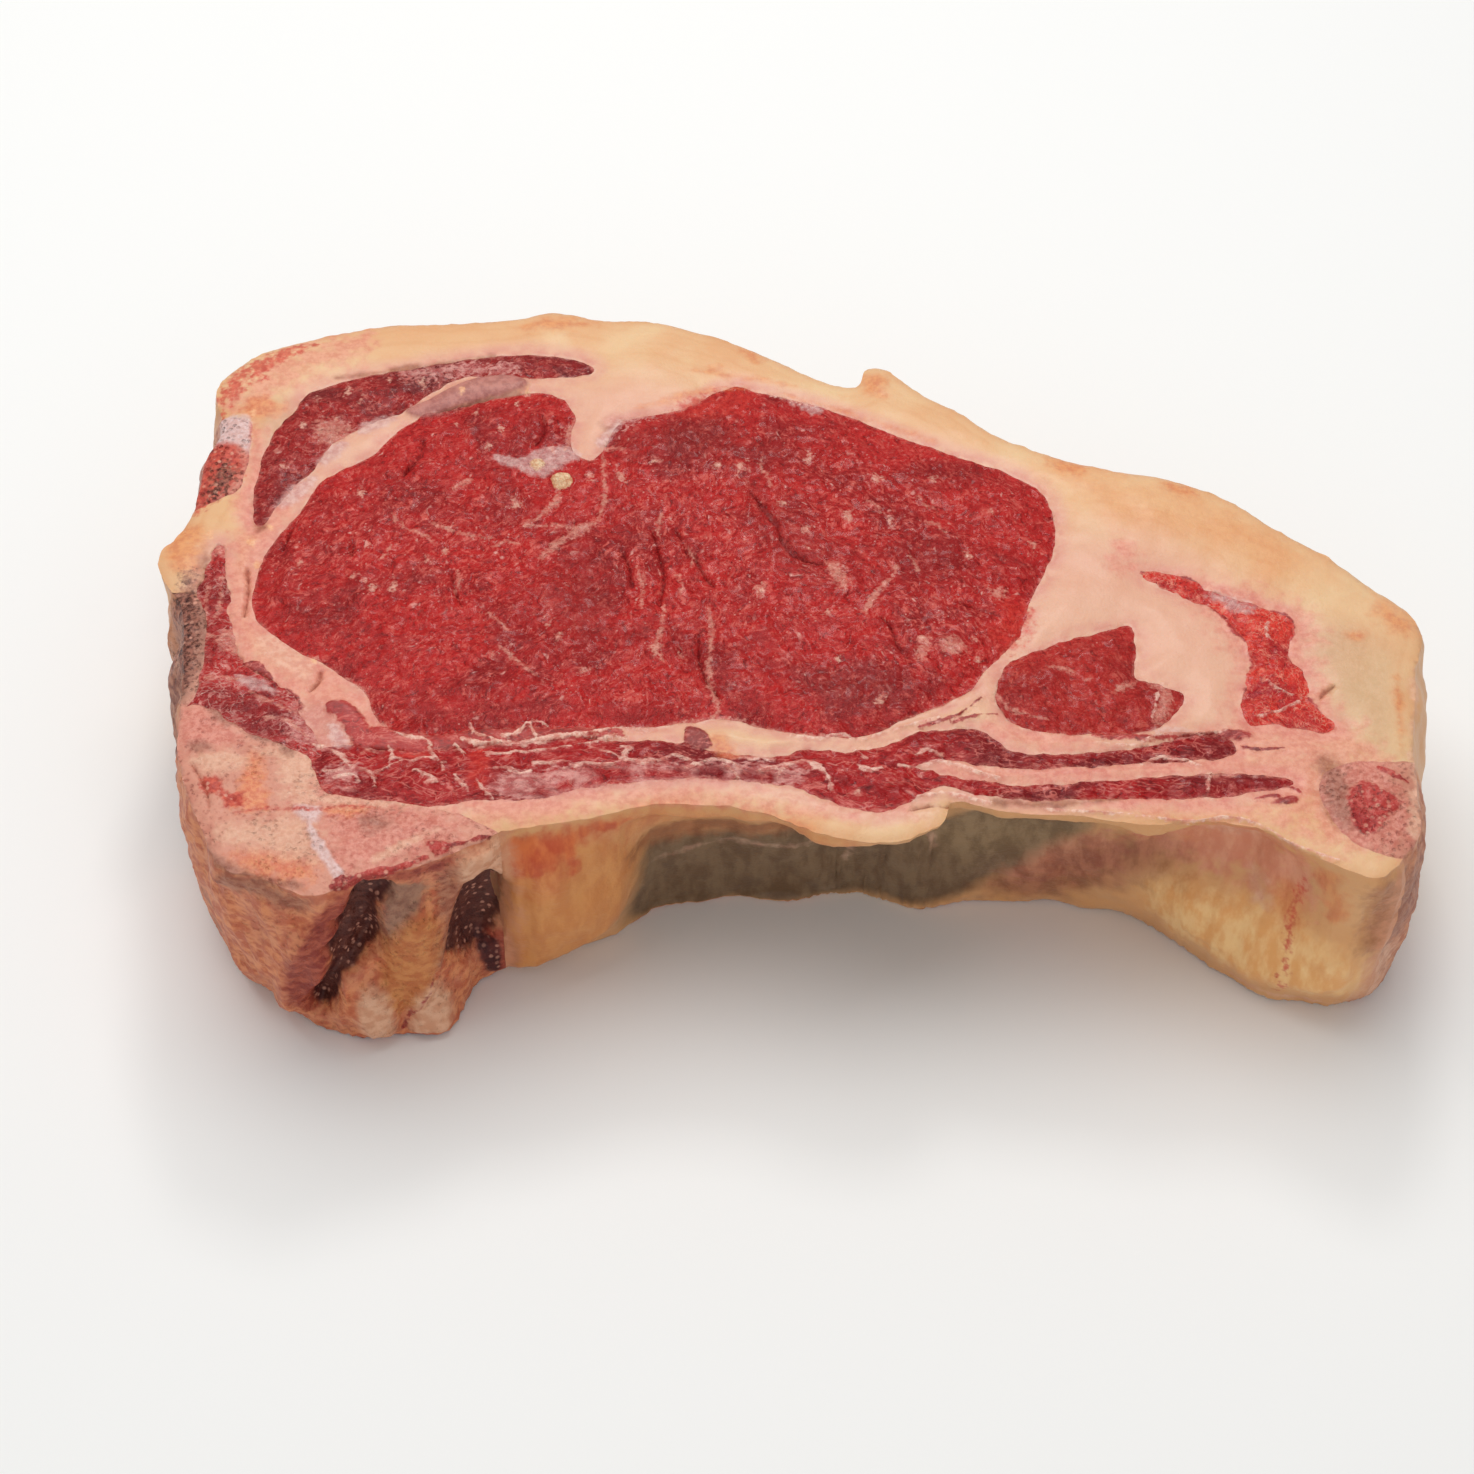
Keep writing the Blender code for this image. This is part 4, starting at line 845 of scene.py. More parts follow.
# %% [markdown]
# ## One set of vertices for every piece
# Each muscle, bone and the fat becomes a closed piece with a cut face, an underside and walls. All of
# them take their vertices from one shared table, so neighbours meet without a gap whatever is done
# to the surface later. The outer walls show, so they get a row of vertices every millimetre and finer
# ones at the edges; the walls between the pieces are hidden and get only four rows.

# %% Build the table of vertices
WALL_ROWS = np.concatenate([
    (0, 0.006, 0.016, 0.03), np.linspace(0.046, 0.95, 48), (0.964, 0.976, 0.986, 0.994, 1),
])
HIDDEN_ROWS = np.array((0, 0.4, 0.84, 1))


def borders(triangles):
    """Edges that only one of the triangles uses, which lie to their right."""
    rows = np.concatenate([triangles[:, [0, 1]], triangles[:, [1, 2]], triangles[:, [2, 0]]])
    code = rows @ (len(plan), 1)
    return rows[~np.isin(code, rows[:, ::-1] @ (len(plan), 1))]


rim_edges = borders(faces)
on_rim = np.zeros(len(plan), bool)
on_rim[rim_edges] = True
region_edges = [borders(faces[owner == index]) for index in range(len(names))]
on_border = np.zeros(len(plan), bool)
on_border[np.vstack(region_edges)] = True

corner = [np.arange(len(plan)), np.arange(len(plan))]
height = [np.ones(len(plan)), np.zeros(len(plan))]
columns = {}
filled = 2 * len(plan)
for one in np.flatnonzero(on_border):
    rows = WALL_ROWS if on_rim[one] else HIDDEN_ROWS
    between = len(rows) - 2
    columns[one] = (rows, [len(plan) + one, *range(filled, filled + between), one])
    corner.append(np.full(between, one))
    height.append(rows[1:-1])
    filled += between
corner = np.concatenate(corner)
height = np.concatenate(height)
print(filled, "vertices,", on_rim.sum(), "corners on the rim,", on_border.sum(), "on borders")

# %% Carry every vertex to its place


def through(knots, at):
    """Weights that carry values at a few knots smoothly to the places in between."""
    unit = np.eye(len(knots))
    slope = np.gradient(unit, knots, axis=0)
    low = np.clip(np.searchsorted(knots, at, side="right") - 1, 0, len(knots) - 2)
    width = np.diff(knots)[low][:, None]
    u = (at - knots[low])[:, None] / width
    return (
        (2 * u**3 - 3 * u**2 + 1) * unit[low] + (u**3 - 2 * u**2 + u) * width * slope[low]
        + (3 * u**2 - 2 * u**3) * unit[low + 1] + (u**3 - u**2) * width * slope[low + 1]
    )


def step(values, low, high):
    """0 below low, 1 above high and a smooth ramp between."""
    share = np.clip((values - low) / (high - low), 0, 1)
    return share * share * (3 - 2 * share)


place = plan[corner] + np.einsum("vk,vkc->vc", through(HEIGHTS, height), leans[corner])
place = np.column_stack([place, height * THICKNESS])
is_cap = np.arange(len(place)) < 2 * len(plan)
is_wall = ~is_cap & on_rim[corner]
rim_gap, rim_near = line_distance(plan, guide, closed=True)
wall_gap = np.minimum(THICKNESS - place[:, 2], place[:, 2])
print("walls span", (place[is_wall].max(0) - place[is_wall].min(0)).round(1), "mm")

# %% Turn the marks into values at the vertices


def line_mark(at, width, soft, points):
    """0..1 along a line, 0.5 at its half width; the line wavers and thins out towards its ends."""
    middle = spline(points, RAIL_STEP)
    gap, near = line_distance(at, middle)
    along = np.linspace(0, 1, len(middle))
    body = 0.45 + 0.55 * np.sqrt(np.sin(math.pi * along).clip(0))
    body *= (1 + 1.2 * noise(middle, 3.1, 33)).clip(0.2)
    return np.clip(0.5 + (width * body[near] - gap) / (2 * soft), 0, 1)


def patch_mark(at, soft, points):
    """0..1 over a patch, 0.5 on its outline."""
    ring = closed_curve(points, 0.7)
    gap = line_distance(at, ring, closed=True)[0]
    return np.clip(0.5 + np.where(inside(at, ring), gap, -gap) / (2 * soft), 0, 1)


def near(at, points, margin):
    """Which places lie near the box of some points."""
    points = np.array(points)
    return ((at > points.min(0) - margin) & (at < points.max(0) + margin)).all(1)


def all_marks(at, lines, patches):
    """One row of values for each kind of mark."""
    found = {kind: np.zeros(len(at)) for kind in {**lines, **patches}}
    for kind, (soft, marks) in lines.items():
        for width, points in marks:
            close = near(at, points, width + soft)
            found[kind][close] = np.maximum(found[kind][close], line_mark(at[close], width, soft, points))
    for kind, marks in patches.items():
        for soft, points in marks:
            close = near(at, points, soft)
            found[kind][close] = np.maximum(found[kind][close], patch_mark(at[close], soft, points))
    return found


face_marks = all_marks(plan, LINES, PATCHES)
fleck = np.zeros(len(plan))
ragged = 1 + 0.8 * noise(plan, 1.3, 30)
for x, y, size in FLECKS:
    gap = np.hypot(plan[:, 0] - x, 0.7 * (plan[:, 1] - y)) * ragged
    fleck = np.maximum(fleck, np.clip(0.5 + (size - gap) / 1.2, 0, 1))
face_marks["fleck"] = fleck
print({kind: int((values > 0.5).sum()) for kind, values in face_marks.items()})

# %% [markdown]
# ## Where the slice is seen from
# The slice is seen from in front and well above, from about 0.7 m away. The camera is made here,
# because the carving of the sawn backbone is easiest to name by where it shows in the camera's
# picture. Measuring a wall that leans and curves in millimetres would be harder. A ray from the camera
# through such a spot meets the solid at the place that is meant.

# %% Camera
TARGET = Vector((-0.010616, -0.017325, 0.022))
DISTANCE = 0.684
ELEVATION = math.radians(50)
VIEW_ANGLE = math.radians(24)
camera_data = bpy.data.cameras.new("camera")
camera_data.sensor_width = 36
camera_data.angle = VIEW_ANGLE
camera = bpy.data.objects.new("camera", camera_data)
camera.location = TARGET + Vector((0, -math.cos(ELEVATION), math.sin(ELEVATION))) * DISTANCE
camera.rotation_euler = (math.pi / 2 - ELEVATION, 0, 0)
bpy.context.collection.objects.link(camera)
bpy.context.scene.camera = camera
print("camera at", [round(v, 3) for v in camera.location])

# %% From a spot of the picture to a place on the wall
PICTURE = 1474  # width and height of the camera's picture, in pixels
CLOSE_UP = (150, 680)  # the pixel at the upper left corner of a close-up of the backbone
ZOOM = 1.829  # how much larger the close-up is than the picture

solid_corners, solid_sides = [], []
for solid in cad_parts.values():
    first = len(solid_corners)
    solid_corners += [vertex.co for vertex in solid.data.vertices]
    solid_sides += [[first + index for index in side.vertices] for side in solid.data.polygons]
solids = BVHTree.FromPolygons(solid_corners, solid_sides)
focal_length = PICTURE / 2 / math.tan(VIEW_ANGLE / 2)


def seen(*spots):
    """The place along the slice and the height, in mm, that show at spots of the close-up."""
    found = []
    for across, down in spots:
        right = CLOSE_UP[0] + across / ZOOM - PICTURE / 2
        up = PICTURE / 2 - CLOSE_UP[1] - down / ZOOM
        ray = Vector((right, up, -focal_length))
        ray.rotate(camera.rotation_euler)
        meets = solids.ray_cast(camera.location, ray.normalized())[0] / MM
        found.append((meets.x + PLAN_ORIGIN[0], meets.z))
    return found


print("the close-up begins at", [round(float(v), 1) for v in seen((250, 520))[0]])

# %% Name the carving of the backbone by spots of the close-up
# The cavity holds dark blood, and its dark colour is also painted shade in the hollow.
CAVITY = seen(
    (375, 390), (400, 372), (440, 375), (445, 400), (425, 420), (420, 450), (425, 480), (400, 510),
    (375, 540), (350, 560), (340, 600), (310, 610), (290, 590), (315, 560), (330, 520), (320, 500),
    (345, 470), (335, 450), (360, 430),
)
TORN_FLESH = seen(
    (250, 520), (290, 450), (330, 400), (370, 375), (430, 350), (540, 300), (600, 285), (560, 322),
    (520, 345), (470, 362), (400, 383), (364, 430), (350, 475), (333, 507), (324, 561), (299, 592),
    (300, 610), (270, 590), (250, 560),
)
GREY_FILM = seen((440, 380), (500, 370), (500, 400), (470, 440), (430, 480), (425, 450), (430, 420))
LIGAMENT = seen(
    (430, 480), (470, 440), (500, 420), (530, 440), (530, 500), (500, 560), (470, 600), (440, 590),
    (420, 560), (425, 510),
)
BROWN_STRIP = seen((520, 360), (560, 330), (590, 340), (560, 420), (540, 500), (520, 520), (530, 440))
BROWN_BAND = seen((125, 340), (200, 350), (260, 390), (290, 400), (280, 420), (200, 395), (132, 375))
# The groove's dark colour is partly a dark membrane and partly painted shade in it.
GROOVE = seen(
    (590, 340), (640, 350), (640, 400), (610, 470), (600, 490), (560, 510), (540, 500), (560, 420),
)
TOP_KNOB = seen((560, 320), (600, 285), (640, 280), (650, 310), (640, 345), (600, 350), (565, 350))
LEFT_KNOB = seen((385, 570), (420, 555), (440, 590), (450, 640), (400, 640), (380, 610))
RIGHT_KNOB = seen((480, 570), (510, 545), (545, 570), (545, 620), (520, 640), (470, 640), (475, 600))
RED_LINE = seen((465, 640), (475, 600), (500, 560), (520, 530))
RIDGE_LEFT = seen((300, 400), (280, 440), (255, 490), (240, 540), (235, 580))
print("the cavity reaches from", *np.min(CAVITY, axis=0).round(1), "to", *np.max(CAVITY, axis=0).round(1))

# %% Name the other marks and forms of the front wall
SUET = ((-57.6, 30), (-54, 42), (-48.4, 45), (-37.5, 44), (-31.8, 34), (-32.2, 18.6), (-34.6, 12),
        (-40.5, 6), (-46.4, 3), (-54.2, 1.2), (-60, 4), (-60.4, 14))
MEMBRANE = ((-33, 1), (-31, 16), (-29, 27), (-19, 27), (-4, 29), (4, 36), (8.8, 44), (17, 45),
            (24, 38), (28, 36), (34, 42), (40, 44), (50, 42), (54, 34), (48, 25), (42, 16), (36, 8),
            (28, 3), (10, 0), (-15, -1))
# The rounded underside of the front ledge: its orange is painted shade, and it stands out a little.
UNDER_LEDGE = ((-36, 47), (-30, 48), (-10, 48), (4, 48), (12, 48), (10, 44), (2, 40), (-10, 37),
               (-24, 37), (-33, 38))
RUST_LINE = ((-32, 32), (-24, 34), (-12, 33), (0, 35), (6, 43), (9, 40), (2, 30), (-10, 26.6), (-28, 26.6))
RED_BAND = ((64, 36), (74, 46), (88, 48), (94, 44), (94, 32), (86, 30), (76, 28), (66, 28))
RUDDY = ((36, 6), (46, 18), (54, 28), (66, 32), (72, 28), (66, 20), (58, 12), (48, 3))
BULGE = ((64, 22), (78, 25), (94, 26), (103, 22), (103, 10), (88, 7), (72, 8))
RIGHT_END = ((105.4, 24), (113, 22), (115, 40), (108, 48), (103.6, 46), (104.4, 36))

WALL_PATCHES = {
    # dark: the cavity and the groove, partly dark blood and membrane and partly painted shade
    "dark": ((1.0, CAVITY), (1.4, GROOVE), (1.2, ((-61.6, 12), (-59, 12), (-58.6, 3), (-61, 4)))),
    "flesh": ((1.6, TORN_FLESH), (5.0, RUDDY), (1.6, ((-61.6, 12), (-57, 16), (-56, 4), (-61, 3)))),
    "film": ((1.6, GREY_FILM),),
    "yellow": ((1.6, LIGAMENT), (5.0, BULGE)),
    "brown": (
        (1.8, BROWN_STRIP), (3.5, RIGHT_END),
        (1.6, BROWN_BAND),
        (1.4, ((-113, 25), (-111.4, 24), (-111.6, 21.6), (-113, 22))),
        (1.4, ((-113, 17), (-111.6, 16), (-111, 11), (-112.6, 11))),
        (3.0, RUST_LINE),
    ),
    "pale": ((3.0, ((106, 4), (112, 5), (113, 18), (108, 20))), (2.0, ((84, 32), (87, 31), (88, 26),
                                                                       (85, 27))),
             (2.4, ((75, 42), (80, 44), (84, 42), (79, 40)))),
    "crumb": ((1.6, LEFT_KNOB), (1.6, RIGHT_KNOB), (1.8, TOP_KNOB)),
    "suet": ((3.0, SUET),),
    "rust": (
        (1.8, ((-57, 46.4), (-52, 47.6), (-40, 48.4), (-32, 47), (-34, 45), (-43, 44), (-48, 40),
               (-53, 37), (-56, 40))),
        (1.2, ((-44.6, 45), (-42.4, 45), (-42.6, 37), (-44, 36))),
    ),
    "grey": ((3.0, MEMBRANE),),
    "olive": ((8.0, ((20, 36), (40, 42), (56, 36), (50, 24), (40, 18), (24, 24))),),
    "orange": (
        # first the painted shade under the ledge, then orange stains and streaks
        (5.0, UNDER_LEDGE), (3.0, ((-57, 44), (-50, 47), (-43, 46), (-45, 34), (-51, 30), (-56, 36))),
        (2.0, ((96, 41), (99, 42), (100, 34), (97, 33))), (2.0, ((89, 33), (93, 33), (93, 26), (89, 26))),
        (1.6, ((95, 46), (98, 47), (97, 40), (94, 41))),
    ),
    "pink": ((5.0, ((38, 20), (48, 30), (60, 32), (62, 22), (50, 12), (40, 10))), (4.0, RED_BAND)),
}
WALL_LINES = {
    "meat": (0.8, ((0.4, RED_LINE),)),
    "blood": (1.0, ((0.3, ((93, 38), (92.3, 30), (91.9, 22), (92.9, 14))), (0.3, ((91, 12), (92.4, 8),
                                                                                  (91.6, 5))))),
    "pale": (1.2, (
        (0.8, ((84, 2.6), (95, 2.2), (104, 2.8))), (0.3, ((-28, 20), (-14, 23), (0, 22), (14, 25))),
        (0.3, ((20, 44), (24, 34), (26, 22))), (0.3, ((8, 36), (10, 26), (9, 14))),
    )),
}
WALL_FORMS = (  # how far each stands out of the wall, how softly it starts, and where it is
    (-5.0, 1.6, CAVITY), (1.5, 2.2, LIGAMENT), (2.6, 2.2, LEFT_KNOB), (2.4, 2.2, RIGHT_KNOB),
    (2.4, 2.4, TOP_KNOB), (-2.8, 1.8, GROOVE), (3.2, 3.4, SUET), (-0.8, 3.0, MEMBRANE),
    (-0.8, 1.6, GREY_FILM), (0.9, 1.8, BROWN_STRIP), (-1.8, 5.0, RED_BAND), (1.8, 5.0, BULGE),
    (1.2, 4.0, RIGHT_END), (1.0, 3.0, UNDER_LEDGE), (-0.9, 2.4, RUST_LINE),
    (1.3, 1.6, (*RIDGE_LEFT, (-96.6, 6), (-95, 18), (-91.6, 31), (-87.4, 42))),
    (-1.4, 1.2, ((-76, 11), (-74.2, 9), (-74.4, 2), (-76, 1.5))),
    (0.9, 2.0, ((72, 20), (78, 23), (84, 20), (82, 12), (74, 12))),
    (0.8, 2.0, ((93, 24), (101, 22), (101, 12), (94, 11))),
    (0.7, 1.6, ((86, 40), (90, 41), (89, 28), (86, 29))),
)

wall = np.flatnonzero(is_wall)
facing = outward[rim_near[corner[wall]]]
in_front = step(-facing[:, 1], 0.1, 0.3)
wall_marks = all_marks(place[wall][:, (0, 2)], WALL_LINES, WALL_PATCHES)
wall_marks = {kind: values * in_front for kind, values in wall_marks.items()}
print({kind: int((values > 0.5).sum()) for kind, values in wall_marks.items()})

# %% [markdown]
# ## Relief
# Paint alone looks flat once light grazes it, so the surface itself moves. Lean is cut across its
# fibres, so it swells a little out of its membrane and has a granular face with creases where
# bundles part. Fat is smoother and rolls in slow waves. Sawn bone is spongy. The cut face moves up
# and down only, so that it stays one sheet, and the outer walls move sideways.

# %% How far each point of the plan is from its own borders


def gap_to(at, others):
    """Distance from each place to the nearest of the others."""
    tree = KDTree(len(others))
    for index, (x, y) in enumerate(others.tolist()):
        tree.insert((x, y, 0), index)
    tree.balance()
    return np.array([tree.find((x, y, 0))[2] for x, y in at.tolist()])


def depth_in(kinds):
    """Signed distance to the border of some regions: plus inside, minus outside."""
    mine = np.isin(owner, [names.index(kind) for kind in kinds])
    own, other = np.zeros(len(plan), bool), np.zeros(len(plan), bool)
    own[faces[mine]] = True
    other[faces[~mine]] = True
    gap = gap_to(plan, plan[own & other])
    return np.where(own, gap, -gap)


lean_depth = depth_in(LEAN)
bone_depth = depth_in(BONES)
seam_gap = gap_to(plan, plan[on_border & ~on_rim])
print("deepest lean", lean_depth.max().round(1), "mm; widest fat", (-lean_depth.min()).round(1), "mm")

# %% Shape the cut face
x, y = plan.T
swell = np.sin(x / 31 + 0.6) * np.cos(y / 24 - 0.4) + 0.5 * np.sin(x / 13 + y / 17)
tops = 0.7 * swell - 1.3 * np.exp(-rim_gap / 3.0) - 0.6 * np.exp(-((seam_gap / 4.0) ** 2))

warp = np.column_stack([noise(plan, 9, 5), noise(plan, 9, 6)]) * 3.0
grained = plan + warp
bundle = np.abs(noise(grained, (2.6, 3.6, 9), 7))
lean_relief = (
    0.45 * (1 - np.exp(-np.maximum(lean_depth, 0) / 2.0)) - 0.15
    + 0.34 * noise(plan, 8.5, 1) + 0.30 * noise(grained, (2.6, 4.0, 9), 2) + 0.26 * noise(plan, 1.7, 3)
    - 0.30 * step(-bundle, -0.10, 0.0) * step(noise(plan, 12, 4), -0.1, 0.3)
)
fat_relief = 0.28 * noise(plan, 15, 8) + 0.16 * noise(plan, 5.5, 9) + 0.06 * noise(plan, 1.9, 10)
bone_relief = 0.22 * noise(plan, 1.3, 12) + 0.42 * noise(plan, 4.3, 13) + 0.1
of_lean = step(lean_depth, -0.7, 0.7)
of_bone = step(bone_depth, -0.7, 0.7)
relief = fat_relief + (lean_relief - fat_relief) * of_lean
relief += (bone_relief - relief) * of_bone
MARK_RELIEF = {  # how far a full mark lifts or sinks the surface, in mm
    "crease": -0.7, "dark": -0.5, "thread": 0.4, "fleck": 0.15, "lilac": 0.15, "crumb": 0.55,
    "membrane": 0.9, "fat": 0.12, "cartilage": 0.3,
}
for kind, lift in MARK_RELIEF.items():
    relief += lift * step(face_marks[kind], 0.15, 0.9)
relief += 0.35 * step(face_marks["meat"], 0.2, 0.8) * (1 - of_lean)
print("relief from", relief.min().round(2), "to", relief.max().round(2), "mm")

# %% Shape the walls and the underside
rise = height**3 * tops[corner] + relief[corner] * step(place[:, 2], THICKNESS - 5, THICKNESS)
hollow = 0.3 * np.maximum(noise(plan, 7, 14) + 0.1, 0) + 0.9 * np.exp(-rim_gap / 0.9)
rise += hollow[corner] * step(-place[:, 2], -3, 0)

spot = place[wall]
stone = step(bone_depth[corner[wall]], -1.5, 0.5)
flesh = 0.50 * noise(spot, 11, 15) + 0.24 * noise(spot, 4.4, 16) + 0.07 * noise(spot, 1.9, 17)
sawn = 0.15 * noise(spot, (8, 8, 2.2), 18) + 0.30 * noise(spot, 1.9, 19) + 0.5 * noise(spot, 6, 20)
out = flesh + (sawn - flesh) * stone
for amount, soft, points in WALL_FORMS:
    at = spot[:, (0, 2)]
    close = np.flatnonzero(near(at, points, soft) & (in_front > 0))
    share = patch_mark(at[close], soft, points) * in_front[close]
    out[close] += amount * step(share, 0, 1)
out = np.maximum(out, -0.4 * seam_gap[corner[wall]]) * step(wall_gap[wall], 0, 2.2)
place[wall, :2] += facing * out[:, None]
place[:, 2] += rise
place[:, 2] -= place[:, 2].min()
print("walls move from", out.min().round(1), "to", out.max().round(1), "mm")
print("size now", (place.max(0) - place.min(0)).round(1), "mm")

# %% [markdown]
# ## Values for the materials
# Every material reads how deep a point lies in its region, how near the rim it is, and the marks. On
# the walls the marks of the cut face fade out within two millimetres and those of the wall take
# over.

# %% Collect them
fade = step(-np.maximum(THICKNESS * (1 - height), 0), -2.2, 0)
fade[~is_wall] = 1
values = {}
for kind in {**face_marks, **wall_marks}:
    total = np.zeros(len(place))
    if kind in face_marks:
        total = face_marks[kind][corner] * fade
    if kind in wall_marks:
        total[wall] = np.maximum(total[wall], wall_marks[kind])
    values[kind] = total
values["depth"] = np.where(is_wall, 6.0, np.abs(np.where(of_bone > 0.5, bone_depth, lean_depth))[corner])
values["rim"] = np.where(is_wall, 0.0, rim_gap[corner])
values["side"] = np.where(is_wall, 1.0, 0.0)
values["joint"] = np.abs(bone_depth)[corner]  # distance to the border of the nearest bone
slant = 2 - step(x + 5 * noise(plan, 25, 31), -52, -34) - step(x + 5 * noise(plan, 25, 32), -16, 4)
values["lay"] = slant[corner]  # which way the fibres lean: 0, 1 or 2
print(sorted(values))

# %% [markdown]
# ## Material helpers
# The finishes of this slice share a few effects, and each effect is a node group with named inputs,
# built once. Colours are named by their screen values and turned into the linear ones that Blender
# works with. All textures use object coordinates in millimetres, so that a size in a node is a size
# on the meat.

# %% Small helpers for nodes


def tone(red, green, blue):
    """A screen colour of 0..255 as a linear colour."""
    screen = np.array([red, green, blue]) / 255
    linear = np.where(screen < 0.04045, screen / 12.92, ((screen + 0.055) / 1.055) ** 2.4)
    return (*linear.tolist(), 1)


def add(tree, kind, links=(), **settings):
    """One shader node; links pairs an input with a value or with another node's output."""
    made = tree.nodes.new("ShaderNode" + kind)
    for key, value in settings.items():
        setattr(made, key, value)
    for key, value in dict(links).items():
        if isinstance(value, bpy.types.NodeSocket):
            tree.links.new(value, made.inputs[key])
        else:
            made.inputs[key].default_value = value
    return made


def blend(tree, share, first, second):
    """A mix of two colours."""
    return add(tree, "Mix", {0: share, 6: first, 7: second}, data_type="RGBA").outputs[2]


def sum_of(tree, operation, first, second=0.0, third=0.0):
    """One step of arithmetic."""
    made = add(tree, "Math", {0: first, 1: second, 2: third}, operation=operation)
    return made.outputs[0]


def ramp(tree, value, low, high, bottom=0.0, top=1.0):
    """A soft step from bottom to top as the value goes from low to high."""
    links = {"Value": value, "From Min": low, "From Max": high, "To Min": bottom, "To Max": top}
    return add(tree, "MapRange", links, interpolation_type="SMOOTHSTEP").outputs[0]


def speckle(tree, at, size, detail=2.0, rough=0.5, twist=0.0):
    """Noise of 0..1 whose bumps are about size mm wide."""
    links = {"Vector": at, "Scale": 1 / size, "Detail": detail, "Roughness": rough, "Distortion": twist}
    return add(tree, "TexNoise", links).outputs["Fac"]


def group(name, inputs, outputs):
    """An empty node group with its sockets, and its input and output nodes."""
    kinds = {"colour": "NodeSocketColor", "value": "NodeSocketFloat", "place": "NodeSocketVector"}
    tree = bpy.data.node_groups.new(name, "ShaderNodeTree")
    for label, (kind, start) in inputs.items():
        socket = tree.interface.new_socket(label, in_out="INPUT", socket_type=kinds[kind])
        if start is not None:
            socket.default_value = start
    for label, kind in outputs.items():
        tree.interface.new_socket(label, in_out="OUTPUT", socket_type=kinds[kind])
    return tree, tree.nodes.new("NodeGroupInput").outputs, tree.nodes.new("NodeGroupOutput").inputs


print("cream fat as a linear colour:", [round(v, 3) for v in tone(235, 200, 160)])

# %% [markdown]
# ## Frayed edges
# Blood seeps along fibres and membranes tear, so no mark on meat ends in a clean line. This group
# takes a mark's value, breaks its edge up with two sizes of noise and gives back a mask.

# %% Group: frayed mask
frayed, given, gives = group(
    "Frayed mask",
    {"Mark": ("value", 0.0), "Position": ("place", None), "Size": ("value", 1.6),
     "Fray": ("value", 0.5), "Softness": ("value", 0.15)},
    {"Mask": "value"},
)
small = add(frayed, "VectorMath", {0: given["Position"], "Scale": 1.0}, operation="SCALE")
step_size = sum_of(frayed, "DIVIDE", 1.0, given["Size"])
frayed.links.new(step_size, small.inputs["Scale"])
rough_edge = add(frayed, "TexNoise", {"Vector": small.outputs[0], "Scale": 1.0, "Detail": 3.0}).outputs["Fac"]
shift = sum_of(frayed, "MULTIPLY", sum_of(frayed, "SUBTRACT", rough_edge, 0.5), given["Fray"])
shift = sum_of(frayed, "MULTIPLY", shift, ramp(frayed, given["Mark"], 0.0, 0.12))
moved = sum_of(frayed, "ADD", given["Mark"], sum_of(frayed, "MULTIPLY", shift, 2.0))
low_edge = sum_of(frayed, "SUBTRACT", 0.5, given["Softness"])
high_edge = sum_of(frayed, "ADD", 0.5, given["Softness"])
frayed.links.new(ramp(frayed, moved, low_edge, high_edge), gives["Mask"])
print("frayed mask:", len(frayed.nodes), "nodes")

# %% [markdown]
# ## Lean cut across its fibres
# The fibres stand on end in the cut face, tied into bundles by thin pale membranes. That gives three
# sizes of pattern: slow patches of brighter and duller red, bundles of two to three millimetres with
# pinkish edges, and a fine sparkle of pale specks, among them small painted glints that stand in for
# wet highlights. A Voronoi texture gives the bundles, and noise bends their coordinates so that no
# cell looks regular.

# %% Group: muscle
muscle, given, gives = group(
    "Muscle",
    {"Position": ("place", None), "Lay": ("value", 1.0), "Strokes and sheen": ("value", 0.0),
     "Bright": ("colour", tone(190, 58, 60)), "Deep": ("colour", tone(140, 36, 44)),
     "Pink": ("colour", tone(214, 128, 128)), "Bundle size": ("value", 2.6),
     "Membranes": ("value", 0.5), "Grains and glints": ("value", 0.6)},
    {"Colour": "colour", "Height": "value", "Wetness": "value"},
)


def bent_by(tree, at, size, amount):
    """The position, pushed about by noise."""
    bend = add(tree, "TexNoise", {"Vector": at, "Scale": 1 / size, "Detail": 3.0}).outputs["Color"]
    bend = add(tree, "VectorMath", {0: bend, 1: (0.5, 0.5, 0.5)}, operation="SUBTRACT").outputs[0]
    bend = add(tree, "VectorMath", {0: bend, "Scale": amount}, operation="SCALE").outputs[0]
    return add(tree, "VectorMath", {0: at, 1: bend}, operation="ADD").outputs[0]


def dots(tree, at, scale, outer, inner, rarity):
    """Small soft dots in some of the cells of a Voronoi texture."""
    cell = add(tree, "TexVoronoi", {"Vector": at, "Scale": scale, "Randomness": 1.0}).outputs
    chosen = ramp(tree, add(tree, "SeparateColor", {"Color": cell["Color"]}).outputs[0], rarity, 1.0)
    return sum_of(tree, "MULTIPLY", ramp(tree, cell["Distance"], outer, inner), chosen)


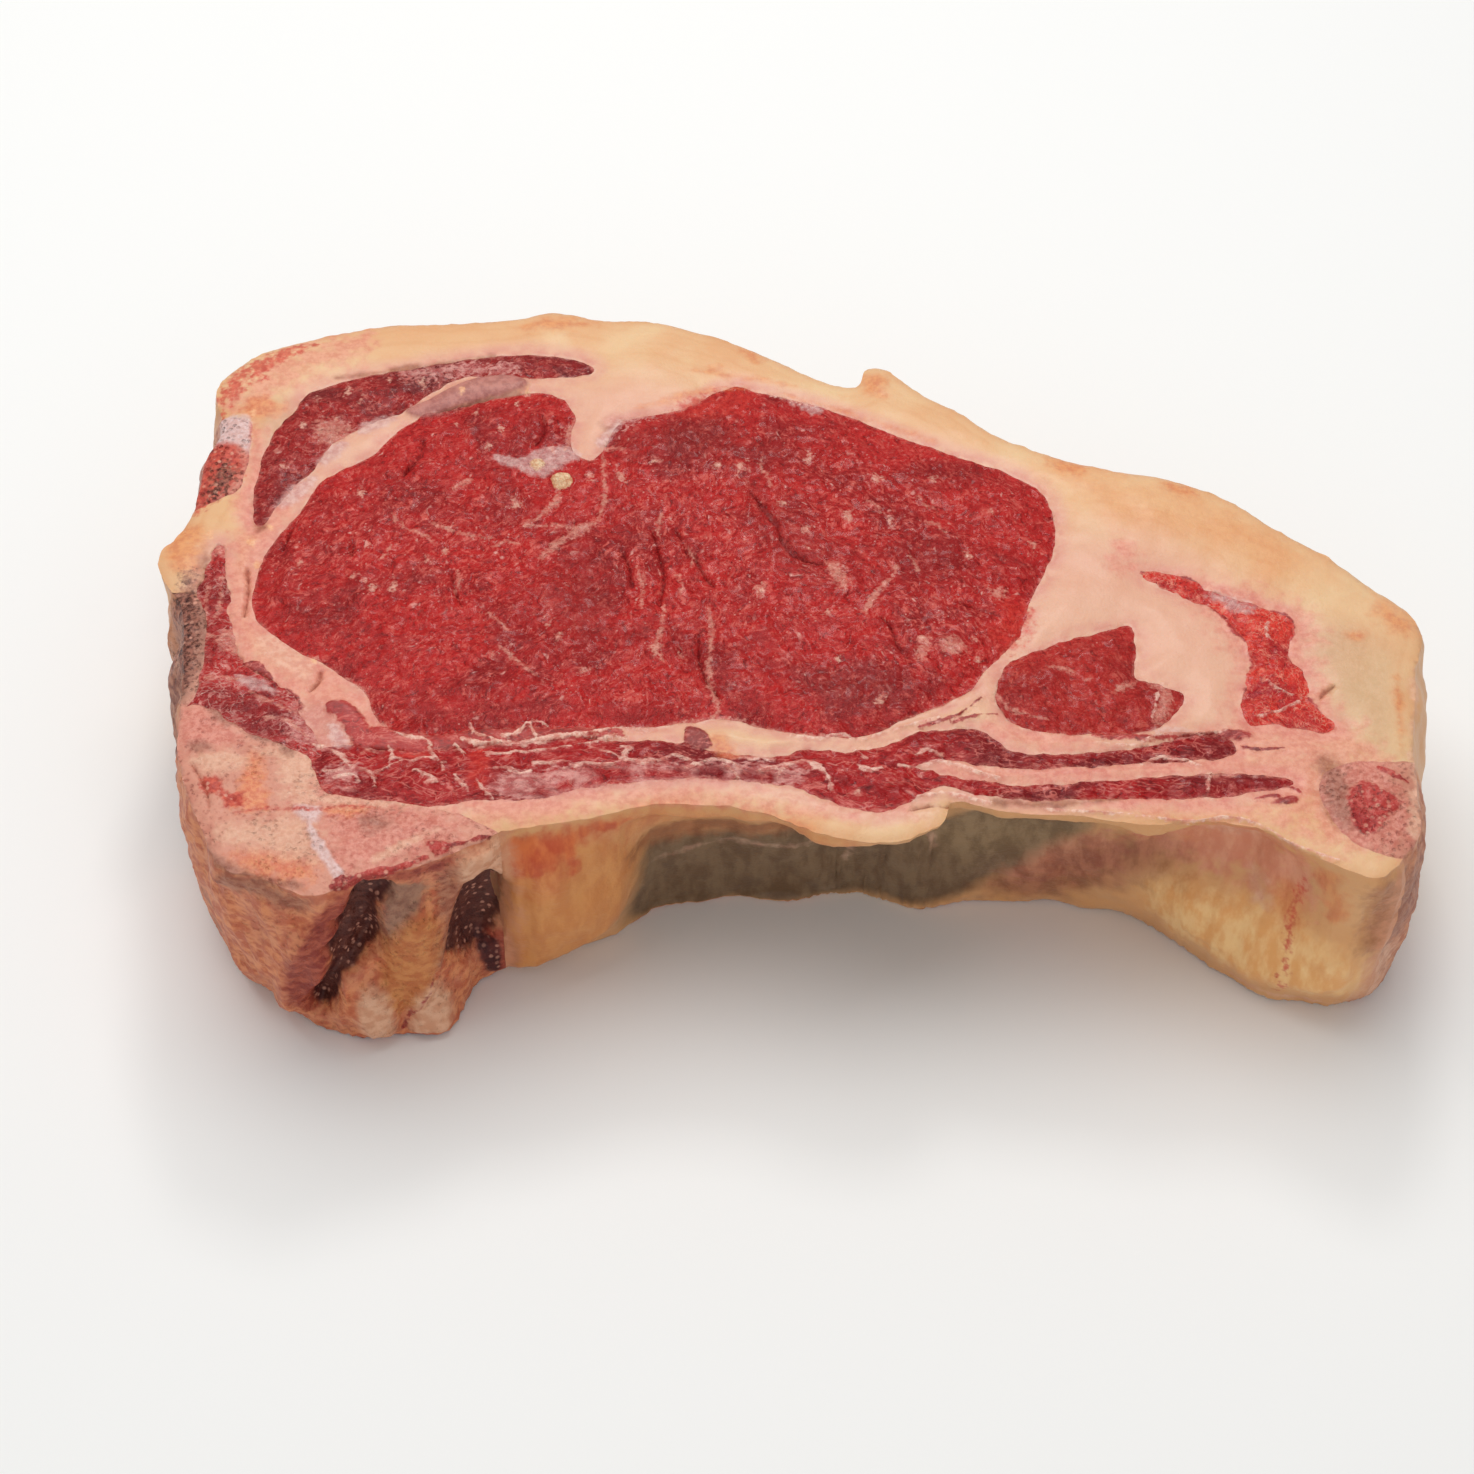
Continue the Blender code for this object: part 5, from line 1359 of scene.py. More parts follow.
bent = bent_by(muscle, given["Position"], 6.3, 9.0)
swayed = bent_by(muscle, given["Position"], 7.0, 9.0)
leftward = ramp(muscle, given["Lay"], 0.8, 0.2)
rightward = ramp(muscle, given["Lay"], 1.2, 1.8)
upright = sum_of(muscle, "SUBTRACT", 1.0, sum_of(muscle, "ADD", leftward, rightward))
grain, dashes = 0.0, 0.0
for share, angle in ((leftward, -0.87), (upright, 1.5), (rightward, 0.95)):
    laid = add(muscle, "Mapping", {"Vector": swayed, "Rotation": (0, 0, angle), "Scale": (2.1, 1.0, 1.6)},
               vector_type="TEXTURE").outputs[0]
    grain = sum_of(muscle, "MULTIPLY_ADD", speckle(muscle, laid, 0.95, 4.0, 0.72), share, grain)
    dashes = sum_of(muscle, "MULTIPLY_ADD", dots(muscle, laid, 0.6, 0.26, 0.06, 0.5), share, dashes)
# painted highlight: soft pale dots that stand in for the glints of the wet face
glints = dots(muscle, given["Position"], 1.1, 0.3, 0.1, 0.45)
cell_scale = sum_of(muscle, "DIVIDE", 1.0, given["Bundle size"])
cells = add(muscle, "TexVoronoi", {"Vector": bent, "Scale": cell_scale}, feature="DISTANCE_TO_EDGE")
cells = cells.outputs["Distance"]
patches = speckle(muscle, given["Position"], 15.0, 4.0, 0.55, 0.6)
middle = speckle(muscle, bent, 3.0, 3.0, 0.6)
clumps = speckle(muscle, swayed, 1.6, 3.0, 0.65)
crumbs = speckle(muscle, given["Position"], 0.7, 2.0, 0.6)
colour = blend(muscle, ramp(muscle, patches, 0.32, 0.6), given["Deep"], given["Bright"])
colour = blend(muscle, ramp(muscle, middle, 0.5, 0.32, 0.0, 0.45), colour, given["Deep"])
darker = blend(muscle, 0.5, given["Deep"], (0, 0, 0, 1))
colour = blend(muscle, ramp(muscle, grain, 0.47, 0.33, 0.0, 0.7), colour, darker)
colour = blend(muscle, ramp(muscle, clumps, 0.42, 0.28, 0.0, 0.6), colour, darker)
# Where the pale haze lies, pale strokes and glints crowd together: partly pale fibres, partly a painted
# sheen.
clusters = ramp(muscle, sum_of(muscle, "MULTIPLY_ADD", given["Strokes and sheen"], 0.14, middle), 0.38, 0.66, 0.1, 0.75)
pale_strokes = sum_of(muscle, "MULTIPLY", ramp(muscle, grain, 0.5, 0.64), clusters)
colour = blend(muscle, pale_strokes, colour, given["Pink"])
colour = blend(muscle, ramp(muscle, crumbs, 0.58, 0.74, 0.0, 0.5), colour, given["Pink"])
lines = sum_of(muscle, "MULTIPLY", ramp(muscle, cells, 0.07, 0.0), ramp(muscle, middle, 0.42, 0.66))
colour = blend(muscle, sum_of(muscle, "MULTIPLY", lines, given["Membranes"]), colour, given["Pink"])
sparse = ramp(muscle, sum_of(muscle, "MULTIPLY_ADD", given["Strokes and sheen"], 0.1, middle), 0.36, 0.6, 0.25, 1.0)
dashes = sum_of(muscle, "MULTIPLY", sum_of(muscle, "MULTIPLY", dashes, sparse), given["Grains and glints"])
lighter = blend(muscle, 0.4, given["Pink"], (0.9, 0.7, 0.6, 1))
colour = blend(muscle, dashes, colour, lighter)
# the painted glints go into the colour where the pale strokes cluster
glints = sum_of(muscle, "MULTIPLY", sum_of(muscle, "MULTIPLY", glints, clusters), given["Grains and glints"])
colour = blend(muscle, glints, colour, lighter)
muscle.links.new(colour, gives["Colour"])
level = sum_of(muscle, "MULTIPLY_ADD", grain, 0.6, sum_of(muscle, "MULTIPLY", clumps, 0.7))
level = sum_of(muscle, "SUBTRACT", level, ramp(muscle, cells, 0.08, 0.0, 0.0, 0.1))
muscle.links.new(sum_of(muscle, "MULTIPLY_ADD", dashes, 0.2, level), gives["Height"])
muscle.links.new(ramp(muscle, grain, 0.3, 0.7), gives["Wetness"])
print("muscle:", len(muscle.nodes), "nodes")

# %% [markdown]
# ## Fat
# Fat is nearly one colour, but it is never even: it is warmer where it is thin or has dried, it has
# faint layers that run along the rim, and small lobules under the skin of it.

# %% Group: fat
fatty, given, gives = group(
    "Fat",
    {"Position": ("place", None), "Rim": ("value", 10.0), "Cream": ("colour", tone(224, 186, 142)),
     "Peach": ("colour", tone(219, 166, 120)), "Ochre": ("colour", tone(206, 142, 92)),
     "Layers": ("value", 0.16)},
    {"Colour": "colour", "Height": "value"},
)
slow = speckle(fatty, given["Position"], 19.0, 3.0, 0.55, 0.5)
mid = speckle(fatty, given["Position"], 4.2, 4.0, 0.6)
small = speckle(fatty, given["Position"], 0.8, 2.0, 0.6)
colour = blend(fatty, ramp(fatty, slow, 0.34, 0.7), given["Cream"], given["Peach"])
colour = blend(fatty, ramp(fatty, mid, 0.54, 0.78, 0.0, 0.45), colour, given["Peach"])
turns = sum_of(fatty, "MULTIPLY_ADD", slow, 13.0, sum_of(fatty, "MULTIPLY", given["Rim"], 1.7))
waves = sum_of(fatty, "SINE", sum_of(fatty, "MULTIPLY_ADD", mid, 3.0, turns))
layers = sum_of(fatty, "MULTIPLY", ramp(fatty, waves, 0.3, 1.0), given["Layers"])
layers = sum_of(fatty, "MULTIPLY", layers, ramp(fatty, slow, 0.4, 0.6))
colour = blend(fatty, layers, colour, given["Ochre"])
colour = blend(fatty, ramp(fatty, given["Rim"], 2.4, 0.0, 0.0, 0.35), colour, given["Ochre"])
colour = blend(fatty, ramp(fatty, small, 0.58, 0.8, 0.0, 0.16), colour, given["Ochre"])
fatty.links.new(colour, gives["Colour"])
level = sum_of(fatty, "MULTIPLY_ADD", mid, 0.7, sum_of(fatty, "MULTIPLY", small, 0.3))
fatty.links.new(level, gives["Height"])
print("fat:", len(fatty.nodes), "nodes")

# %% [markdown]
# ## Sawn bone
# A saw opens the spongy inside of bone. Its pores are full of red marrow between a pale web, and
# bone dust and fat smear over parts of it.

# %% Group: spongy bone
spongy, given, gives = group(
    "Spongy bone",
    {"Position": ("place", None), "Web": ("colour", tone(226, 190, 168)),
     "Pores": ("colour", tone(168, 84, 66)), "Smear": ("colour", tone(222, 176, 146)),
     "Openness": ("value", 0.5)},
    {"Colour": "colour", "Height": "value"},
)
slow = speckle(spongy, given["Position"], 8.0, 3.0, 0.6)
web = add(spongy, "TexVoronoi", {"Vector": given["Position"], "Scale": 0.95, "Randomness": 1.0})
web = web.outputs["Distance"]
fine_web = speckle(spongy, given["Position"], 0.9, 3.0, 0.7)
pores = sum_of(spongy, "MULTIPLY", ramp(spongy, web, 0.62, 0.12), ramp(spongy, fine_web, 0.42, 0.62))
pores = sum_of(spongy, "MULTIPLY", pores, ramp(spongy, slow, 0.34, 0.6, 0.35, 1.3))
pores = sum_of(spongy, "MULTIPLY", pores, given["Openness"])
colour = blend(spongy, ramp(spongy, slow, 0.4, 0.66), given["Web"], given["Smear"])
colour = blend(spongy, sum_of(spongy, "MINIMUM", pores, 1.0), colour, given["Pores"])
spongy.links.new(colour, gives["Colour"])
level = sum_of(spongy, "SUBTRACT", sum_of(spongy, "MULTIPLY", fine_web, 0.5), pores)
spongy.links.new(level, gives["Height"])
print("spongy bone:", len(spongy.nodes), "nodes")

# %% [markdown]
# ## Three families of finishes
# Lean, fat and bone each start from their own group, and then the marks go over it one after another
# with the frayed mask. A thin wet film is a coat with a low roughness, and a little subsurface
# scattering lets light bleed through the fat. Where bone and fat share a wall, a few millimetres of
# each take one colour, because torn flesh hides the border there.

# %% Start a material


def open_material(name, coat, roughness, scatter, radius):
    """A material with a wet coat, and its position in millimetres."""
    made = bpy.data.materials.new(name)
    made.use_nodes = True
    tree = made.node_tree
    shader = tree.nodes["Principled BSDF"]
    shader.inputs["Roughness"].default_value = roughness
    shader.inputs["Coat Weight"].default_value = coat
    shader.inputs["Coat Roughness"].default_value = 0.2
    shader.inputs["Coat IOR"].default_value = 1.36
    shader.inputs["Specular IOR Level"].default_value = 0.25
    shader.inputs["Subsurface Weight"].default_value = scatter
    shader.inputs["Subsurface Radius"].default_value = radius
    shader.inputs["Subsurface Scale"].default_value = MM
    where = add(tree, "TexCoord").outputs["Object"]
    at = add(tree, "VectorMath", {0: where, "Scale": 1 / MM}, operation="SCALE").outputs[0]
    return made, tree, shader, at


def value_of(tree, name):
    """One of the values stored at the vertices."""
    return add(tree, "Attribute", attribute_name=name).outputs["Fac"]


def placed(tree, grouped, links):
    """A node group placed in a material."""
    made = tree.nodes.new("ShaderNodeGroup")
    made.node_tree = grouped
    for key, value in links.items():
        if isinstance(value, bpy.types.NodeSocket):
            tree.links.new(value, made.inputs[key])
        else:
            made.inputs[key].default_value = value
    return made.outputs


def frayed_mask(tree, at, name, size, amount, softness):
    """The mask of one mark, with its edge broken up."""
    mark = value_of(tree, name)
    links = {"Mark": mark, "Position": at, "Size": size, "Fray": amount, "Softness": softness}
    return placed(tree, frayed, links)["Mask"]


def mottled(tree, pattern):
    """A pattern as a share between the darkest and the lightest tone of a mark."""
    return ramp(tree, pattern, 0.36, 0.64)


def face_or_wall(tree, face, wall):
    """One value on the cut face and another on the walls."""
    side = value_of(tree, "side")
    return add(tree, "Mix", {0: side, 2: face, 3: wall}, data_type="FLOAT").outputs[0]


def lay_meat(tree, at, colour, strength, position, bright, deep, pink):
    """Shreds of lean that lie on fat or bone."""
    meat = placed(tree, muscle, {
        "Position": position, "Lay": 1.0, "Bright": tone(*bright), "Deep": tone(*deep),
        "Pink": tone(*pink), "Bundle size": 1.8, "Membranes": 0.7, "Grains and glints": 0.8,
    })
    share = sum_of(tree, "MULTIPLY", frayed_mask(tree, at, "meat", 1.4, 0.6, 0.2), strength)
    return blend(tree, share, colour, meat["Colour"])


def paint(tree, at, base, mottle, marks):
    """Marks over a base: name, darkest and lightest tone, strength, size, fray and softness of each."""
    for name, low, high, strength, size, amount, softness in marks:
        mask = frayed_mask(tree, at, name, size, amount, softness)
        colour = blend(tree, mottle, tone(*low), tone(*high))
        base = blend(tree, sum_of(tree, "MULTIPLY", mask, strength), base, colour)
    return base


def run_together(tree, at, colour):
    """On the walls, bone and fat run into each other over a few millimetres."""
    gap = sum_of(tree, "MULTIPLY_ADD", speckle(tree, at, 3.5, 4.0, 0.6), 9.0, value_of(tree, "joint"))
    share = sum_of(tree, "MULTIPLY", ramp(tree, gap, 9.0, 4.0), value_of(tree, "side"))
    return blend(tree, share, colour, tone(208, 142, 106))


def close_material(tree, shader, colour, height, bump):
    """Join colour and bump to the shader."""
    tree.links.new(colour, shader.inputs["Base Color"])
    links = {"Height": height, "Strength": 1.0, "Distance": bump * MM}
    tree.links.new(add(tree, "Bump", links).outputs["Normal"], shader.inputs["Normal"])


print("each material starts from", open_material.__name__, "and ends in", close_material.__name__)

# %% Lean materials
LEAN_LOOKS = {  # bright, deep, pink, bundle size, membranes, grains and painted glints, stretch along the slice
    "eye_muscle": ((180, 22, 20), (140, 10, 12), (212, 98, 86), 2.6, 0.35, 0.85, 1.0),
    "cap_muscle": ((154, 22, 20), (106, 10, 14), (206, 108, 96), 2.4, 0.6, 0.85, 0.8),
    "side_muscle": ((176, 32, 26), (148, 20, 18), (200, 88, 74), 2.2, 0.3, 0.5, 1.0),
    "rib_muscle": ((166, 16, 18), (116, 6, 12), (214, 116, 104), 2.5, 0.75, 0.5, 0.5),
    "back_muscle": ((178, 34, 32), (104, 12, 18), (218, 146, 136), 1.8, 1.0, 0.9, 0.7),
    "flank_streak": ((216, 52, 38), (160, 20, 32), (232, 138, 116), 1.7, 0.9, 0.4, 1.0),
}
finishes = {}
for name, (bright, deep, pink, size, membranes, grains_and_glints, stretch) in LEAN_LOOKS.items():
    made, tree, shader, at = open_material(name, 0.2, 0.45, 0.08, (0.8, 0.25, 0.2))
    shader.inputs["Coat Roughness"].default_value = 0.16
    shader.inputs["Specular IOR Level"].default_value = 0.15
    along = add(tree, "Mapping", {"Vector": at, "Scale": (stretch, 1, 1)}).outputs[0]
    flesh = placed(tree, muscle, {
        "Position": along, "Lay": value_of(tree, "lay"), "Strokes and sheen": value_of(tree, "strokes_and_sheen"),
        "Bright": tone(*bright), "Deep": tone(*deep), "Pink": tone(*pink),
        "Bundle size": size, "Membranes": membranes, "Grains and glints": grains_and_glints,
    })
    mottle = mottled(tree, speckle(tree, along, 1.3, 4.0, 0.7))
    colour = paint(tree, along, flesh["Colour"], mottle, [
        # brown: dusky zones of the flesh, and painted shade under the membrane fold
        ("brown", (108, 20, 20), (132, 36, 30), 0.3, 3.0, 0.8, 0.48),
        ("blood", (180, 26, 22), (214, 60, 46), 0.6, 1.4, 1.0, 0.45),
        ("film", (176, 84, 80), (222, 158, 148), 0.8, 0.8, 1.5, 0.35),
        ("lilac", (186, 130, 126), (218, 178, 170), 0.8, 1.4, 0.8, 0.4),
        # crease: painted shade along the folds
        ("crease", (86, 14, 18), (120, 26, 28), 0.6, 0.9, 0.9, 0.4),
        ("fat", (200, 110, 96), (228, 164, 144), 0.62, 0.8, 1.2, 0.4),
        # fleck: pale specks, one of them a painted glint
        ("fleck", (206, 120, 106), (234, 182, 160), 0.75, 0.6, 0.9, 0.35),
        ("thread", (204, 118, 106), (238, 194, 176), 0.88, 0.9, 1.0, 0.3),
        ("orange", (206, 92, 46), (220, 124, 66), 0.6, 1.4, 0.6, 0.4),
        ("crumb", (206, 150, 108), (236, 206, 164), 0.9, 0.8, 0.4, 0.2),
        ("membrane", (154, 86, 82), (182, 114, 106), 0.85, 1.8, 0.3, 0.3),
    ])
    island = sum_of(tree, "MULTIPLY", value_of(tree, "meat"), value_of(tree, "film"))
    colour = blend(tree, island, colour, flesh["Colour"])
    edge = ramp(tree, value_of(tree, "depth"), 0.8, 0.0, 0.0, 0.4)
    edge = sum_of(tree, "MULTIPLY", edge, ramp(tree, speckle(tree, at, 1.1), 0.4, 0.62))
    colour = blend(tree, edge, colour, tone(214, 138, 120))
    tree.links.new(ramp(tree, flesh["Wetness"], 0.1, 0.9, 0.58, 0.34), shader.inputs["Roughness"])
    close_material(tree, shader, colour, flesh["Height"], 0.7)
    finishes[name] = made
print(len(finishes), "lean materials")

# %% Fat material
made, tree, shader, at = open_material(FAT, 0.15, 0.45, 0.15, (1.0, 0.6, 0.35))
body = placed(tree, fatty, {"Position": at, "Rim": value_of(tree, "rim")})
inner = ramp(tree, value_of(tree, "rim"), 9.0, 26.0, 0.0, 0.7)
seams = ramp(tree, value_of(tree, "depth"), 5.0, 1.0, 0.0, 0.65)
colour = blend(tree, sum_of(tree, "MAXIMUM", inner, seams), body["Colour"], tone(220, 164, 144))
near_lean = ramp(tree, value_of(tree, "depth"), 4.0, 0.0)
blush = sum_of(tree, "MULTIPLY", near_lean, ramp(tree, speckle(tree, at, 3.4, 3.0), 0.36, 0.66, 0.1, 0.75))
colour = blend(tree, blush, colour, tone(206, 130, 116))
skin = ramp(tree, value_of(tree, "depth"), 0.9, 0.25)
skin = sum_of(tree, "MULTIPLY", skin, ramp(tree, speckle(tree, at, 2.2), 0.4, 0.6))
colour = blend(tree, sum_of(tree, "MULTIPLY", skin, 0.4), colour, tone(228, 184, 162))
walled = ramp(tree, speckle(tree, at, 12.0, 3.0), 0.3, 0.7, 0.5, 0.85)
walled = sum_of(tree, "MULTIPLY", value_of(tree, "side"), walled)
colour = blend(tree, walled, colour, tone(218, 158, 102))
streaked = add(tree, "Mapping", {"Vector": at, "Scale": (1, 1, 0.35)}).outputs[0]
face_mottle = speckle(tree, at, 1.5, 4.0, 0.65)
wall_mottle = speckle(tree, streaked, 3.2, 4.0, 0.6)
mottle = mottled(tree, face_or_wall(tree, face_mottle, wall_mottle))
colour = paint(tree, at, colour, mottle, [
    ("tan", (190, 150, 114), (202, 162, 128), 0.55, 6.0, 0.3, 0.48),
    ("suet", (200, 118, 52), (216, 142, 74), 0.75, 5.0, 0.4, 0.45),
    ("pink", (206, 108, 94), (226, 148, 128), 0.62, 2.6, 1.0, 0.48),
    ("film", (190, 108, 98), (212, 144, 130), 0.6, 3.0, 0.5, 0.45),
    ("yellow", (234, 168, 100), (246, 202, 140), 0.85, 4.0, 0.4, 0.45),
    ("warm", (214, 128, 72), (226, 150, 90), 0.32, 8.0, 0.4, 0.48),
    ("grey", (92, 70, 50), (120, 98, 74), 0.92, 5.0, 0.3, 0.42),
    ("olive", (128, 102, 70), (160, 132, 96), 0.6, 6.0, 0.4, 0.48),
    ("flesh", (116, 54, 38), (164, 98, 70), 0.75, 4.0, 0.5, 0.48),
    # orange: stains and streaks, and painted shade under the front ledge
    ("orange", (200, 98, 50), (222, 140, 80), 0.62, 2.6, 0.6, 0.48),
    ("rust", (190, 66, 34), (214, 104, 52), 0.8, 2.4, 0.8, 0.45),
    # brown: brown patches, and painted shade under the membrane fold
    ("brown", (128, 66, 36), (160, 96, 60), 0.78, 2.4, 0.5, 0.45),
    ("pale", (214, 158, 134), (230, 186, 160), 0.5, 1.8, 0.7, 0.45),
    ("lilac", (192, 138, 132), (218, 180, 170), 0.75, 1.5, 0.6, 0.4),
    ("cartilage", (208, 174, 164), (220, 194, 186), 0.85, 1.5, 0.3, 0.35),
    ("membrane", (154, 86, 82), (182, 114, 106), 0.85, 1.8, 0.3, 0.3),
    ("blood", (184, 46, 36), (210, 86, 66), 0.82, 1.2, 1.1, 0.4),
    # dark: partly dark blood and membrane, partly painted shade in the cavity and groove
    ("dark", (54, 20, 14), (76, 36, 28), 0.92, 1.4, 0.5, 0.25),
    ("murk", (84, 40, 32), (178, 120, 94), 0.85, 0.9, 1.4, 0.48),
    # crease: painted shade along the folds
    ("crease", (130, 60, 42), (160, 84, 62), 0.55, 1.0, 0.4, 0.35),
    ("fleck", (222, 150, 104), (236, 184, 140), 0.8, 0.7, 0.5, 0.3),
    ("crumb", (212, 158, 112), (234, 194, 152), 0.8, 1.2, 0.4, 0.3),
])
along = add(tree, "Mapping", {"Vector": at, "Scale": (0.5, 1, 1)}).outputs[0]
colour = lay_meat(tree, at, colour, 0.94, along, (172, 30, 28), (124, 14, 18), (212, 116, 104))
colour = paint(tree, at, colour, mottle, [("thread", (210, 136, 118), (238, 200, 180), 0.85, 0.9, 0.9, 0.3)])
close_material(tree, shader, run_together(tree, at, colour), body["Height"], 0.35)
finishes[FAT] = made
print("fat material:", len(tree.nodes), "nodes")

# %% Bone materials
BONE_LOOKS = {  # web, pores, smear, openness, darker and lighter tone of the walls
    "vertebra": ((210, 146, 124), (176, 92, 78), (196, 124, 104), 0.5, (194, 98, 62), (226, 144, 96)),
    "spine_edge": ((150, 104, 86), (60, 24, 22), (112, 64, 54), 1.3, (140, 76, 60), (196, 134, 108)),
    "spine_tip": ((190, 106, 92), (116, 38, 34), (184, 104, 92), 1.2, (160, 86, 70), (210, 148, 124)),
    "rib_bone": ((196, 132, 110), (160, 76, 62), (186, 122, 98), 0.6, (178, 100, 66), (208, 138, 98)),
}
for name, (web_tone, pore_tone, smear_tone, openness, darker_tone, lighter_tone) in BONE_LOOKS.items():
    made, tree, shader, at = open_material(name, 0.12, 0.55, 0.05, (1.0, 0.5, 0.3))
    body = placed(tree, spongy, {
        "Position": at, "Web": tone(*web_tone), "Pores": tone(*pore_tone),
        "Smear": tone(*smear_tone), "Openness": openness,
    })
    border = ramp(tree, value_of(tree, "depth"), 3.5, 0.0, 0.0, 0.7)
    colour = blend(tree, border, body["Colour"], tone(218, 154, 132))
    browned = ramp(tree, speckle(tree, at, 6.0), 0.3, 0.6, 0.65, 0.95)
    browned = sum_of(tree, "MULTIPLY", value_of(tree, "side"), browned)
    striped = add(tree, "Mapping", {"Vector": at, "Scale": (0.75, 0.75, 1)}).outputs[0]
    stripes = speckle(tree, striped, 1.7, 3.0, 0.5)
    sawn_tone = blend(tree, mottled(tree, stripes), tone(*darker_tone), tone(*lighter_tone))
    colour = blend(tree, browned, colour, sawn_tone)
    face_mottle = speckle(tree, at, 1.1, 4.0, 0.7)
    mottle = mottled(tree, face_or_wall(tree, face_mottle, stripes))
    colour = run_together(tree, at, colour)
    colour = paint(tree, at, colour, mottle, [
        ("pink", (190, 98, 84), (222, 146, 130), 0.7, 2.0, 0.8, 0.48),
        ("flesh", (134, 42, 34), (172, 78, 58), 0.9, 3.0, 0.6, 0.42),
        ("film", (132, 96, 80), (156, 118, 98), 0.85, 1.8, 0.5, 0.45),
        ("orange", (206, 100, 62), (228, 146, 98), 0.7, 1.8, 0.8, 0.48),
        ("yellow", (188, 108, 58), (206, 134, 76), 0.88, 1.8, 0.4, 0.4),
        ("pale", (214, 162, 134), (230, 186, 158), 0.66, 1.8, 0.9, 0.48),
        ("cartilage", (206, 166, 158), (224, 194, 190), 0.9, 1.4, 0.3, 0.35),
        ("lilac", (176, 128, 128), (208, 166, 162), 0.75, 1.2, 0.5, 0.4),
        ("brown", (128, 76, 60), (156, 106, 88), 0.66, 2.0, 0.7, 0.48),
        ("crumb", (212, 154, 120), (228, 178, 146), 0.9, 1.6, 0.4, 0.4),
        ("blood", (168, 42, 32), (206, 84, 62), 0.88, 0.7, 0.6, 0.4),
        # dark: partly dark blood and membrane, partly painted shade in the cavity and groove
        ("dark", (56, 16, 20), (80, 30, 30), 0.92, 3.4, 0.4, 0.2),
        ("murk", (66, 24, 22), (158, 96, 78), 0.9, 0.9, 1.4, 0.48),
        # crease: painted shade along the folds
        ("crease", (140, 66, 52), (164, 90, 72), 0.6, 1.0, 0.6, 0.4),
    ])
    colour = lay_meat(tree, at, colour, 0.92, at, (176, 42, 38), (120, 22, 26), (206, 110, 98))
    open_bone = value_of(tree, "dark")
    for kind in ("blood", "meat", "murk"):
        open_bone = sum_of(tree, "MAXIMUM", open_bone, value_of(tree, kind))
    grit = dots(tree, at, 0.85, 0.5, 0.2, 0.35)
    grit = sum_of(tree, "MULTIPLY", grit, ramp(tree, open_bone, 0.3, 0.7, 0.0, 0.8))
    colour = blend(tree, grit, colour, tone(214, 152, 130))
    close_material(tree, shader, colour, body["Height"], 0.45)
    finishes[name] = made
print(sorted(finishes), "are ready")

# %% [markdown]
# ## The pieces
# Each piece takes its triangles for the cut face, the same ones turned over for the underside, and
# walls along its borders. A wall joins two columns of vertices that can have different numbers of
# rows, so it climbs both at once and always takes the lower next step.

# %% Make a mesh for every node
SHARP_ANGLE = math.radians(62)


def wall_between(first, second):
    """Triangles of the wall between two neighbouring columns."""
    rows_a, column_a = columns[first]
    rows_b, column_b = columns[second]
    a, b = 0, 0
    found = []
    while a < len(rows_a) - 1 or b < len(rows_b) - 1:
        next_a = rows_a[a + 1] if a < len(rows_a) - 1 else 9
        next_b = rows_b[b + 1] if b < len(rows_b) - 1 else 9
        if next_a < next_b or (next_a == next_b and first < second):
            found.append((column_a[a], column_b[b], column_a[a + 1]))
            a += 1
        else:
            found.append((column_a[a], column_b[b], column_b[b + 1]))
            b += 1
    return found


